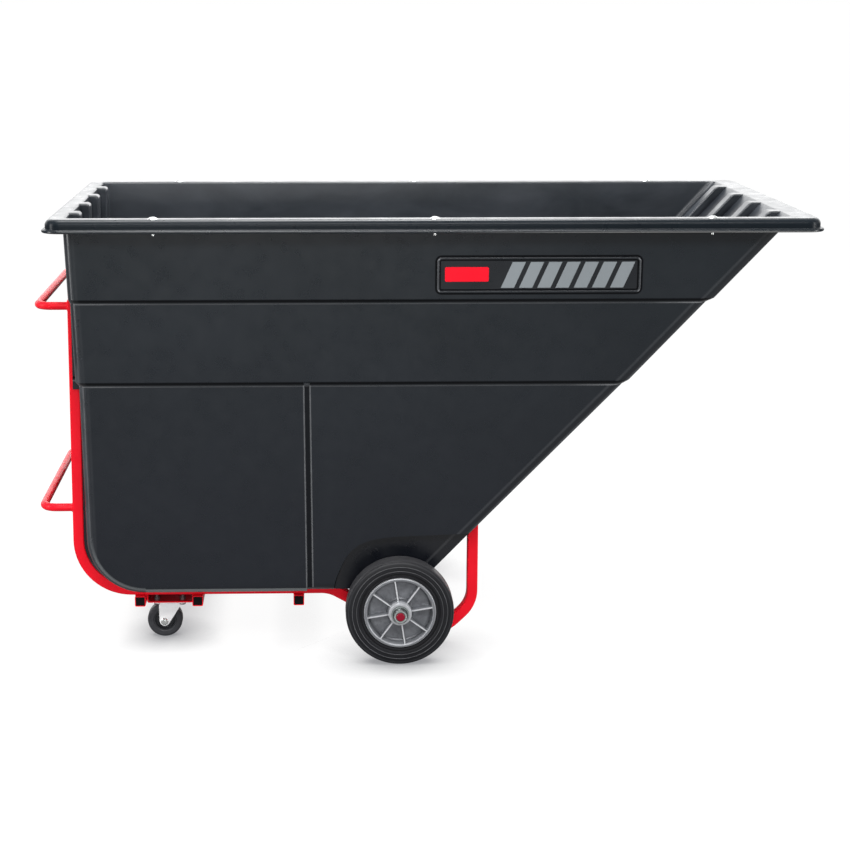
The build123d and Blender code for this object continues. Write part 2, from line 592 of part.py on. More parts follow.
with BuildPart() as floor_washers:
    with Locations([(x, y, IN_FLOOR) for x, y in FLOOR_SCREWS]):
        Cylinder(14.0, 2.0, align=(Align.CENTER, Align.CENTER, Align.MIN))
        Cylinder(1.95, 2.0, align=(Align.CENTER, Align.CENTER, Align.MIN), mode=Mode.SUBTRACT)
save(floor_washers, "floor_washers")

# back bolts: through the rib, a spacer and the upright's front wall into a rivet nut
UP_FRONT = UP_X + TUBE / 2
GROOVE_FLOOR = RIB_BACK_X - WALL
with BuildPart() as back_bolts:
    for z, y in BACK_BOLTS:
        with Locations((RIB_BACK_X + 2.0, y, z)):
            Cone(9.0, 5.0, 4.5, rotation=(0, 90, 0), align=(Align.CENTER, Align.CENTER, Align.MIN))
        with Locations((RIB_BACK_X + 2.0, y, z)):
            Cylinder(3.95, 32.0, rotation=(0, -90, 0), align=(Align.CENTER, Align.CENTER, Align.MIN))
save(back_bolts, "back_bolts")

with BuildPart() as back_washers:
    with Locations([(RIB_BACK_X, y, z) for z, y in BACK_BOLTS]):
        Cylinder(12.0, 2.0, rotation=(0, 90, 0), align=(Align.CENTER, Align.CENTER, Align.MIN))
        Cylinder(4.2, 2.0, rotation=(0, 90, 0), align=(Align.CENTER, Align.CENTER, Align.MIN), mode=Mode.SUBTRACT)
save(back_washers, "back_washers")

with BuildPart() as back_spacers:
    with Locations([(UP_FRONT, y, z) for z, y in BACK_BOLTS]):
        Cylinder(10.0, GROOVE_FLOOR - UP_FRONT, rotation=(0, 90, 0), align=(Align.CENTER, Align.CENTER, Align.MIN))
        Cylinder(4.2, GROOVE_FLOOR - UP_FRONT, rotation=(0, 90, 0), align=(Align.CENTER, Align.CENTER, Align.MIN),
                 mode=Mode.SUBTRACT)
save(back_spacers, "back_spacers")

# ---------------------------------------------------------------- axle group
HANGER_T = 6.5
with BuildPart() as axle_hanger_right:
    with BuildSketch(Plane.XZ.offset(RAIL_Y - HANGER_T / 2)):
        with BuildLine():
            FilletPolyline((-128.0, 92.0), (-30.0, 40.0), (22.0, 40.0), (-12.0, 150.0), (-94.0, 150.0),
                           close=True, radius=6.0)
        make_face()
        with Locations((AXLE_X, AXLE_Z)):
            Circle(AXLE_R + 0.1, mode=Mode.SUBTRACT)
    extrude(amount=HANGER_T)
    add(rail_envelope.part, mode=Mode.SUBTRACT)
axle_hanger_left = mirrored(axle_hanger_right.part)
save(axle_hanger_right, "axle_hanger_right")
save(axle_hanger_left, "axle_hanger_left")


def ring_y(y0, y1, r_out, r_in):
    """Plain ring about the axle between two Y positions."""
    with BuildPart() as ring:
        with BuildSketch(Plane.XZ.offset(-y1)):
            with Locations((AXLE_X, AXLE_Z)):
                Circle(r_out)
                Circle(r_in, mode=Mode.SUBTRACT)
        extrude(amount=y1 - y0)
    return ring.part


HANG_IN, HANG_OUT = RAIL_Y - HANGER_T / 2, RAIL_Y + HANGER_T / 2
with BuildPart() as axle_tube:
    add(ring_y(-HANG_IN, HANG_IN, 13.5, AXLE_R + 0.15))
save(axle_tube, "axle_tube")

HUB_IN, HUB_OUT = 336.0, 406.5
with BuildPart() as axle_spacers:
    for a, b in ((HANG_OUT, HUB_IN - 3.6), (-(HUB_IN - 3.6), -HANG_OUT)):
        add(ring_y(a, b, 13.5, AXLE_R + 0.15))
save(axle_spacers, "axle_spacers")

WASH_T = 3.0
with BuildPart() as axle_washers:
    for a, b in ((HUB_IN - 0.4 - WASH_T - 0.2, HUB_IN - 0.6), (HUB_OUT + 0.4, HUB_OUT + 0.4 + WASH_T)):
        add(ring_y(a, b, 21.0, AXLE_R + 0.15))
        add(ring_y(-b, -a, 21.0, AXLE_R + 0.15))
save(axle_washers, "axle_washers")

NUT_Y0, NUT_H = HUB_OUT + 0.4 + WASH_T, 11.5
with BuildPart() as axle_nuts:
    for sgn in (-1, 1):
        with BuildSketch(Plane.XZ.offset(-sgn * NUT_Y0)):
            with Locations((AXLE_X, AXLE_Z)):
                RegularPolygon(14.5, 6, rotation=12, major_radius=False)
                Circle(AXLE_R, mode=Mode.SUBTRACT)
        extrude(amount=-sgn * NUT_H)
save(axle_nuts, "axle_nuts")

with BuildPart() as main_axle:
    with BuildSketch(Plane.XZ.offset(-AXLE_HALF)):
        with Locations((AXLE_X, AXLE_Z)):
            Circle(AXLE_R)
    extrude(amount=2 * AXLE_HALF)
    chamfer(main_axle.edges().filter_by(GeomType.CIRCLE), 1.2)
save(main_axle, "main_axle")

# ---------------------------------------------------------------- main wheels
# profiles are (radius, distance from the wheel's middle plane), the outside face positive
axis_wheel = Axis((AXLE_X, -WHEEL_Y, AXLE_Z), (0, 1, 0))
wheel_plane = Plane(origin=(AXLE_X, -WHEEL_Y, AXLE_Z), x_dir=(1, 0, 0), z_dir=(0, 0, 1))   # local y is +Y


def wheel_profile(points):
    """Closed outline from (radius, outward distance) pairs."""
    return [(r, -t) for r, t in points]


with BuildPart() as tyre_right:
    with BuildSketch(wheel_plane):
        half = [(85.0, 0.0), (85.0, 19.0), (86.5, 22.0), (90.0, 22.4), (91.4, 20.6), (94.0, 20.6), (96.0, 23.0),
                (100.6, 23.3), (101.6, 24.1), (102.6, 23.4), (110.6, 23.2), (111.6, 24.0), (112.8, 23.0),
                (119.5, 21.8), (123.6, 20.6), (126.0, 18.2), (127.0, 14.0), (127.0, 0.0)]
        ring = wheel_profile(half) + [(r, t) for r, t in reversed(half) if t > 0]
        with BuildLine():
            Polyline(*ring, close=True)
        make_face()
    revolve(axis=axis_wheel, revolution_arc=360)
tyre_left = mirrored(tyre_right.part)
save(tyre_right, "tyre_right")
save(tyre_left, "tyre_left")

HO, HI = HUB_OUT - WHEEL_Y, HUB_IN - WHEEL_Y          # hub ends from the middle plane
BUSH_R = 13.0
with BuildPart() as hub_right:
    with BuildSketch(wheel_plane):
        prof = [(BUSH_R, HI), (25.0, HI), (26.0, HI + 1.2), (27.0, -3.6), (73.4, -3.6), (76.6, -19.5), (78.0, -21.6),
                (82.6, -21.6), (85.0, -19.0), (85.0, 19.0), (83.6, 22.6), (82.4, 23.4), (79.4, 23.4), (77.6, 22.0),
                (73.6, 4.6), (70.5, 2.6), (32.0, 2.6), (29.0, 4.6), (26.8, HO - 1.4), (25.6, HO), (BUSH_R, HO)]
        with BuildLine():
            Polyline(*wheel_profile(prof), close=True)
        make_face()
    revolve(axis=axis_wheel, revolution_arc=360)
    # spokes, thinner towards the outside face like a casting
    for k in range(8):
        ang = 9.0 + 45.0 * k
        spoke_plane = Plane(origin=(AXLE_X, -WHEEL_Y, AXLE_Z), x_dir=(math.cos(math.radians(ang)), 0,
                                                                      math.sin(math.radians(ang))), z_dir=(0, -1, 0))
        with BuildSketch(spoke_plane.offset(1.0)):
            with Locations((51.0, 0)):
                Rectangle(51.0, 4.6)
        with BuildSketch(spoke_plane.offset(20.5)):
            with Locations((51.5, 0)):
                Rectangle(52.5, 3.0)
        loft()
        with BuildSketch(spoke_plane.offset(-3.0)):
            with Locations((51.0, 0)):
                Rectangle(51.0, 4.6)
        with BuildSketch(spoke_plane.offset(-18.0)):
            with Locations((51.0, 0)):
                Rectangle(50.5, 3.0)
        loft()
hub_left = mirrored(hub_right.part)
save(hub_right, "hub_right")
save(hub_left, "hub_left")

with BuildPart() as hub_bushing_right:
    with BuildSketch(wheel_plane):
        with BuildLine():
            Polyline(*wheel_profile([(AXLE_R + 0.06, HI), (BUSH_R, HI), (BUSH_R, HO), (AXLE_R + 0.06, HO)]), close=True)
        make_face()
    revolve(axis=axis_wheel, revolution_arc=360)
hub_bushing_left = mirrored(hub_bushing_right.part)
save(hub_bushing_right, "hub_bushing_right")
save(hub_bushing_left, "hub_bushing_left")

# ---------------------------------------------------------------- swivel casters
PLATE_Z = CHAN_Z - PLATE_T
king_axis = Axis((KING_X, -CAS_Y, 0), (0, 0, 1))
king_plane = Plane(origin=(KING_X, -CAS_Y, 0), x_dir=(1, 0, 0), z_dir=(0, -1, 0))       # local x radius, y height
CROWN_Z0, CROWN_Z1 = 87.5, 90.5

with BuildPart() as caster_plate_right:
    with BuildSketch(Plane(origin=(KING_X, -CAS_Y, PLATE_Z))):
        RectangleRounded(PLATE_X, PLATE_Y, 8.0)
        with GridLocations(HOLE_X, HOLE_Y, 2, 2):
            Circle(4.4, mode=Mode.SUBTRACT)
    extrude(amount=PLATE_T)
    # pressed upper race and the riveted kingpin
    with BuildSketch(king_plane):
        with BuildLine():
            Polyline((5.0, PLATE_Z), (29.0, PLATE_Z), (29.0, PLATE_Z - 2.4), (27.5, PLATE_Z - 2.4),
                     (26.0, PLATE_Z - 1.6), (18.0, PLATE_Z - 1.6), (16.0, PLATE_Z - 4.0), (5.0, PLATE_Z - 4.0), close=True)
        make_face()
        with BuildLine():
            Polyline((0, PLATE_Z + 5.0), (0, 85.3), (7.5, 85.3), (8.2, 86.2), (8.2, 87.2), (5.0, 87.2),
                     (5.0, PLATE_Z + PLATE_T), (7.2, PLATE_Z + PLATE_T), (6.0, PLATE_Z + PLATE_T + 2.6), (0, PLATE_Z + PLATE_T + 2.6),
                     close=True)
        make_face()
    revolve(axis=king_axis, revolution_arc=360)
caster_plate_left = mirrored(caster_plate_right.part)
save(caster_plate_right, "caster_plate_right")
save(caster_plate_left, "caster_plate_left")

PCD_BALL, BALL_R = 22.0, 2.2
BALL_Z = (PLATE_Z - 1.6 + 92.2) / 2
with BuildPart() as caster_balls_right:
    with Locations((KING_X, -CAS_Y, BALL_Z)):
        with PolarLocations(PCD_BALL, 18):
            Sphere(BALL_R)
caster_balls_left = mirrored(caster_balls_right.part)
save(caster_balls_right, "caster_balls_right")
save(caster_balls_left, "caster_balls_left")

LEG_IN, LEG_OUT = 18.5, 21.5
AX_Z = CAS_R
with BuildPart() as caster_fork_right:
    # crown with its rolled lower race
    with BuildSketch(king_plane):
        with BuildLine():
            Polyline((5.05, CROWN_Z0), (27.0, CROWN_Z0), (29.0, CROWN_Z0 + 1.5), (29.0, 94.4), (27.0, 94.4),
                     (25.6, 92.2), (18.0, 92.2), (16.0, CROWN_Z1), (5.05, CROWN_Z1), close=True)
        make_face()
    revolve(axis=king_axis, revolution_arc=360)
    # two legs, upright at the back edge and sloping at the front edge, round at the axle
    for sgn in (-1, 1):
        with BuildSketch(Plane.XZ.offset(CAS_Y + (LEG_IN if sgn > 0 else -LEG_OUT))):
            with BuildLine():
                Polyline((-630.5, 41.0), (-632.0, CROWN_Z1), (-574.0, CROWN_Z1), (-578.0, 84.0), (-607.6, 36.0),
                         close=True)
            make_face()
            with Locations((CAS_X, AX_Z)):
                Circle(12.2)
            with Locations((CAS_X, AX_Z)):
                Circle(4.05, mode=Mode.SUBTRACT)
        extrude(amount=LEG_OUT - LEG_IN)
    # the crown reaches out to the legs
    with BuildSketch(Plane.XY.offset(CROWN_Z0)):
        with Locations((KING_X, -CAS_Y)):
            Rectangle(57.0, 2 * LEG_OUT)
            Circle(9.2, mode=Mode.SUBTRACT)
    extrude(amount=CROWN_Z1 - CROWN_Z0)
caster_fork_left = mirrored(caster_fork_right.part)
save(caster_fork_right, "caster_fork_right")
save(caster_fork_left, "caster_fork_left")


def cas_ring(y0, y1, r_out, r_in):
    """Ring about the caster's axle; y0 and y1 are measured from the caster's middle plane."""
    with BuildPart() as ring:
        with BuildSketch(Plane.XZ.offset(CAS_Y - y0)):
            with Locations((CAS_X, AX_Z)):
                Circle(r_out)
                if r_in:
                    Circle(r_in, mode=Mode.SUBTRACT)
        extrude(amount=-(y1 - y0))
    return ring.part


with BuildPart() as caster_axle_right:
    add(cas_ring(-30.0, 27.5, 4.0, 0))
    add(cas_ring(-27.6, -21.5, 9.0, 0))
    with BuildSketch(Plane.XZ.offset(CAS_Y - 21.5)):
        with Locations((CAS_X, AX_Z)):
            RegularPolygon(6.5, 6, major_radius=False)
    extrude(amount=-5.3)
    cone_edges = caster_axle_right.edges().filter_by(GeomType.CIRCLE).filter_by_position(
        Axis.Y, -CAS_Y - 27.7, -CAS_Y - 27.5)
    chamfer([e for e in cone_edges if e.radius > 8.0], 2.2)
caster_axle_left = mirrored(caster_axle_right.part)
save(caster_axle_right, "caster_axle_right")
save(caster_axle_left, "caster_axle_left")

with BuildPart() as caster_sleeve_right:
    add(cas_ring(-18.5, 18.5, 6.0, 4.05))
caster_sleeve_left = mirrored(caster_sleeve_right.part)
save(caster_sleeve_right, "caster_sleeve_right")
save(caster_sleeve_left, "caster_sleeve_left")

cas_axis = Axis((CAS_X, -CAS_Y, AX_Z), (0, 1, 0))
cas_plane = Plane(origin=(CAS_X, -CAS_Y, AX_Z), x_dir=(1, 0, 0), z_dir=(0, 0, 1))
with BuildPart() as caster_core_right:
    with BuildSketch(cas_plane):
        core = [(6.06, 17.0), (10.5, 17.0), (11.5, 16.0), (12.0, 8.0), (22.5, 7.0), (24.0, 13.6), (26.5, 13.6), (26.5, 0.0)]
        with BuildLine():
            Polyline(*([(r, -t) for r, t in core] + [(r, t) for r, t in reversed(core) if t > 0]), close=True)
        make_face()
    revolve(axis=cas_axis, revolution_arc=360)
caster_core_left = mirrored(caster_core_right.part)
save(caster_core_right, "caster_core_right")
save(caster_core_left, "caster_core_left")

with BuildPart() as caster_tread_right:
    with BuildSketch(cas_plane):
        tread = [(26.5, 13.6), (28.5, 15.0), (36.0, 15.0), (40.0, 13.8), (42.0, 11.0), (42.5, 8.0), (42.5, 0.0)]
        with BuildLine():
            Polyline(*([(r, -t) for r, t in tread] + [(r, t) for r, t in reversed(tread) if t > 0]), close=True)
        make_face()
    revolve(axis=cas_axis, revolution_arc=360)
caster_tread_left = mirrored(caster_tread_right.part)
save(caster_tread_right, "caster_tread_right")
save(caster_tread_left, "caster_tread_left")

with BuildPart() as caster_bolts:
    for sgn in (-1, 1):
        with Locations((KING_X, sgn * CAS_Y, 0)):
            with GridLocations(HOLE_X, HOLE_Y, 2, 2):
                with Locations((0, 0, PLATE_Z - 4.6)):
                    Cylinder(7.2, 4.6, align=(Align.CENTER, Align.CENTER, Align.MIN))
                with Locations((0, 0, PLATE_Z)):
                    Cylinder(3.95, 19.0, align=(Align.CENTER, Align.CENTER, Align.MIN))
save(caster_bolts, "caster_bolts")

with BuildPart() as caster_nuts:
    for sgn in (-1, 1):
        with BuildSketch(Plane.XY.offset(CHAN_Z + CHAN_T)):
            with Locations((KING_X, sgn * CAS_Y)):
                with GridLocations(HOLE_X, HOLE_Y, 2, 2):
                    RegularPolygon(6.5, 6, major_radius=False)
                    Circle(3.97, mode=Mode.SUBTRACT)
        extrude(amount=6.6)
save(caster_nuts, "caster_nuts")

# ---------------------------------------------------------------- side panel inserts
# a plain reflector and a row of slanted bars stuck in the moulded panel on each side
with BuildPart() as reflector_right:
    with BuildSketch(panel_plane.offset(0.05)):
        with Locations((-165.0, 1.5)):
            RectangleRounded(100.0, 34.0, 4.0)
    extrude(amount=1.6)
    face = reflector_right.faces().filter_by(lambda f: f.area > 3000).sort_by(Axis.Y)[0]
    chamfer(face.edges(), 0.7)
reflector_left = mirrored(reflector_right.part)
save(reflector_right, "reflector_right")
save(reflector_left, "reflector_left")

with BuildPart() as stripes_right:
    with BuildSketch(panel_plane.offset(0.05)):
        for k in range(7):
            cx = -61.0 + 41.67 * k
            with BuildLine():
                Polyline((cx - 26.0, -30.0), (cx + 4.0, -30.0), (cx + 30.0, 30.0), (cx, 30.0), close=True)
            make_face()
    extrude(amount=0.6)
stripes_left = mirrored(stripes_right.part)
save(stripes_right, "stripes_right")
save(stripes_left, "stripes_left")
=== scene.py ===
import json
import math
import bpy
import bmesh
from mathutils import Vector, Matrix


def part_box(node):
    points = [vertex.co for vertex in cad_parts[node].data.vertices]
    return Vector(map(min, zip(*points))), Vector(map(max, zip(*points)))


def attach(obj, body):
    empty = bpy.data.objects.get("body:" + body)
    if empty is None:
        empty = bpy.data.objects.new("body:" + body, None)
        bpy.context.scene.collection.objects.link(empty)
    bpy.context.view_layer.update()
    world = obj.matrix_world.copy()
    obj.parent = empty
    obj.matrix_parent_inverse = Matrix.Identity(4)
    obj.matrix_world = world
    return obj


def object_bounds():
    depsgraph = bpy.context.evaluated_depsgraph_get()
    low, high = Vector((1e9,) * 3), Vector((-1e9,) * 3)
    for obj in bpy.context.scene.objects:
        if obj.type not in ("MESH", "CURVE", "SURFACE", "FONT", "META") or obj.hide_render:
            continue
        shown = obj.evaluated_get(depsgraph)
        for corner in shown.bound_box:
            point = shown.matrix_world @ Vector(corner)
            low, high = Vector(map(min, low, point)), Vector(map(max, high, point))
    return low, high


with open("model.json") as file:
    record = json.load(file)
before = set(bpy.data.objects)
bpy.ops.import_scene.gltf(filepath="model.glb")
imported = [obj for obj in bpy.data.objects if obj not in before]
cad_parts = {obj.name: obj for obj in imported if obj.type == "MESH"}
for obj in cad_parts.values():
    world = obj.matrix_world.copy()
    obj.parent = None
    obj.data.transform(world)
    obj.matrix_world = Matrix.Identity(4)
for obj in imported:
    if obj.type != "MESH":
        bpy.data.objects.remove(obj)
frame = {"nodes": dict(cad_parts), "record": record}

box0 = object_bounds()
nodes = frame["nodes"]
scene = bpy.context.scene


# ------------------------------------------------------------------ material helpers
def new_mat(name):
    m = bpy.data.materials.new(name)
    m.use_nodes = True
    nt = m.node_tree
    b = nt.nodes["Principled BSDF"]
    return m, nt, b


def coords(nt, scale=(1, 1, 1)):
    tc = nt.nodes.new("ShaderNodeTexCoord")
    mp = nt.nodes.new("ShaderNodeMapping")
    mp.inputs["Scale"].default_value = scale
    nt.links.new(tc.outputs["Object"], mp.inputs["Vector"])
    return mp.outputs["Vector"]


def noise(nt, vec, scale, detail=3.0, rough=0.5, distortion=0.0):
    n = nt.nodes.new("ShaderNodeTexNoise")
    n.inputs["Scale"].default_value = scale
    n.inputs["Detail"].default_value = detail
    n.inputs["Roughness"].default_value = rough
    n.inputs["Distortion"].default_value = distortion
    nt.links.new(vec, n.inputs["Vector"])
    return n.outputs["Fac"]


def voronoi(nt, vec, scale, feature="F1"):
    n = nt.nodes.new("ShaderNodeTexVoronoi")
    n.feature = feature
    n.inputs["Scale"].default_value = scale
    nt.links.new(vec, n.inputs["Vector"])
    return n.outputs["Distance"]


def span(nt, val, a, b, c, d):
    n = nt.nodes.new("ShaderNodeMapRange")
    n.clamp = True
    for key, v in zip(("From Min", "From Max", "To Min", "To Max"), (a, b, c, d)):
        n.inputs[key].default_value = v
    nt.links.new(val, n.inputs["Value"])
    return n.outputs["Result"]


def math_node(nt, op, a, b):
    n = nt.nodes.new("ShaderNodeMath")
    n.operation = op
    for k, v in ((0, a), (1, b)):
        if isinstance(v, (int, float)):
            n.inputs[k].default_value = v
        else:
            nt.links.new(v, n.inputs[k])
    return n.outputs[0]


def mix_col(nt, fac, a, b, blend="MIX"):
    n = nt.nodes.new("ShaderNodeMix")
    n.data_type = "RGBA"
    n.blend_type = blend
    if isinstance(fac, (int, float)):
        n.inputs[0].default_value = fac
    else:
        nt.links.new(fac, n.inputs[0])
    for k, v in ((6, a), (7, b)):
        if isinstance(v, tuple):
            n.inputs[k].default_value = (*v, 1.0) if len(v) == 3 else v
        else:
            nt.links.new(v, n.inputs[k])
    return n.outputs[2]


def bump(nt, height, strength, distance, below=None):
    n = nt.nodes.new("ShaderNodeBump")
    n.inputs["Strength"].default_value = strength
    n.inputs["Distance"].default_value = distance
    nt.links.new(height, n.inputs["Height"])
    if below is not None:
        nt.links.new(below, n.inputs["Normal"])
    return n.outputs["Normal"]


def axis_value(nt, axis):
    tc = nt.nodes.new("ShaderNodeTexCoord")
    sp = nt.nodes.new("ShaderNodeSeparateXYZ")
    nt.links.new(tc.outputs["Object"], sp.inputs[0])
    return sp.outputs[axis]


def plastic(name, dark, light, rough, spec, wobble=0.35, grain=0.25, scuff=0.0, scuff_col=(0.08, 0.085, 0.09)):
    """Moulded plastic: slow colour drift, fine grain, a faint mould ripple, and thin handling scuffs."""
    m, nt, b = new_mat(name)
    v = coords(nt)
    drift = noise(nt, v, 3.2, 4.0, 0.55)
    fleck = noise(nt, v, 420.0, 2.0, 0.6)
    col = mix_col(nt, span(nt, drift, 0.32, 0.68, 0.0, 1.0), dark, light)
    col = mix_col(nt, span(nt, fleck, 0.45, 0.75, 0.0, 0.28), col, light)
    r = span(nt, noise(nt, v, 26.0, 5.0, 0.6), 0.3, 0.7, rough - 0.05, rough + 0.06)
    if scuff:
        long_v = coords(nt, (7.0, 7.0, 90.0))
        streak = noise(nt, long_v, 3.0, 6.0, 0.62, 0.4)
        patch = noise(nt, v, 2.3, 2.0, 0.5)
        mask = math_node(nt, "MULTIPLY", span(nt, streak, 0.62, 0.74, 0.0, 1.0), span(nt, patch, 0.48, 0.66, 0.0, scuff))
        col = mix_col(nt, mask, col, scuff_col)
        r = math_node(nt, "ADD", r, math_node(nt, "MULTIPLY", mask, 0.18))
    nt.links.new(col, b.inputs["Base Color"])
    nt.links.new(r, b.inputs["Roughness"])
    n1 = bump(nt, noise(nt, v, 11.0, 2.0, 0.4), wobble, 0.0016)
    n2 = bump(nt, noise(nt, v, 90.0, 2.0, 0.5), wobble * 0.6, 0.00018, n1)
    n3 = bump(nt, voronoi(nt, v, 950.0), grain, 0.00006, n2)
    nt.links.new(n3, b.inputs["Normal"])
    b.inputs["Specular IOR Level"].default_value = spec
    return m


def paint(name, dark, light, rough=0.32, spec=0.35, coat=0.15):
    """Powder coat: even colour with a slight drift, orange-peel surface, thinner and duller where the film thins."""
    m, nt, b = new_mat(name)
    v = coords(nt)
    drift = noise(nt, v, 9.0, 4.0, 0.6)
    col = mix_col(nt, span(nt, drift, 0.3, 0.7, 0.0, 1.0), dark, light)
    speck = noise(nt, v, 620.0, 3.0, 0.7)
    col = mix_col(nt, span(nt, speck, 0.66, 0.78, 0.0, 0.25), col, tuple(c * 0.55 for c in dark))
    nt.links.new(col, b.inputs["Base Color"])
    nt.links.new(span(nt, noise(nt, v, 60.0, 4.0, 0.6), 0.3, 0.7, rough - 0.06, rough + 0.08), b.inputs["Roughness"])
    n1 = bump(nt, noise(nt, v, 430.0, 2.0, 0.45), 0.35, 0.00012)
    n2 = bump(nt, noise(nt, v, 45.0, 2.0, 0.45), 0.25, 0.0004, n1)
    nt.links.new(n2, b.inputs["Normal"])
    b.inputs["Specular IOR Level"].default_value = spec
    b.inputs["Coat Weight"].default_value = coat
    b.inputs["Coat Roughness"].default_value = 0.12
    return m


def metal(name, dark, light, rough=0.28, brushed=(1, 1, 1), tarnish=(0.35, 0.34, 0.33), amount=0.35, metallic=1.0, spangle=240.0):
    """Plated or cast metal: cloudy plating, fine drawn lines, dull spots."""
    m, nt, b = new_mat(name)
    v = coords(nt)
    bv = coords(nt, brushed)
    cloud = noise(nt, v, 46.0, 5.0, 0.62)
    col = mix_col(nt, span(nt, cloud, 0.3, 0.7, 0.0, 1.0), dark, light)
    spots = noise(nt, v, spangle, 3.0, 0.7)
    col = mix_col(nt, span(nt, spots, 0.58, 0.75, 0.0, amount), col, tarnish)
    nt.links.new(col, b.inputs["Base Color"])
    b.inputs["Metallic"].default_value = metallic
    lines = noise(nt, bv, 300.0, 3.0, 0.6)
    r = span(nt, cloud, 0.3, 0.7, rough - 0.06, rough + 0.1)
    nt.links.new(r, b.inputs["Roughness"])
    n1 = bump(nt, lines, 0.22, 0.00008)
    nt.links.new(n1, b.inputs["Normal"])
    return m


def rubber(name, dark, light, rough=0.6, spec=0.25, dust=0.25, ring_axis=None):
    m, nt, b = new_mat(name)
    v = coords(nt)
    drift = noise(nt, v, 22.0, 5.0, 0.6)
    col = mix_col(nt, span(nt, drift, 0.3, 0.7, 0.0, 1.0), dark, light)
    bloom = noise(nt, v, 75.0, 4.0, 0.65)
    col = mix_col(nt, span(nt, bloom, 0.55, 0.8, 0.0, dust), col, tuple(min(1.0, c * 2.6 + 0.01) for c in light))
    nt.links.new(col, b.inputs["Base Color"])
    nt.links.new(span(nt, bloom, 0.3, 0.75, rough - 0.07, rough + 0.1), b.inputs["Roughness"])
    n1 = bump(nt, noise(nt, v, 520.0, 3.0, 0.55), 0.4, 0.00015)
    n2 = bump(nt, noise(nt, v, 70.0, 2.0, 0.5), 0.25, 0.0004, n1)
    nt.links.new(n2, b.inputs["Normal"])
    b.inputs["Specular IOR Level"].default_value = spec
    return m


def near(nt, val, centre, half):
    """1 where val is at centre, fading to 0 at half away from it."""
    d = math_node(nt, "ABSOLUTE", math_node(nt, "SUBTRACT", val, centre), 0.0)
    return span(nt, d, half * 0.35, half, 1.0, 0.0)


def total(nt, *terms):
    out = terms[0]
    for t in terms[1:]:
        out = math_node(nt, "ADD", out, t)
    return out


def product(nt, *terms):
    out = terms[0]
    for t in terms[1:]:
        out = math_node(nt, "MULTIPLY", out, t)
    return out


def stepped(nt, z, knots):
    """Piecewise straight function of z through the given (z, value) knots."""
    out = None
    for (z0, v0), (z1, v1) in zip(knots, knots[1:]):
        term = span(nt, z, z0, z1, v0 if out is None else 0.0, v1 if out is None else v1 - v0)
        out = term if out is None else math_node(nt, "ADD", out, term)
    return out


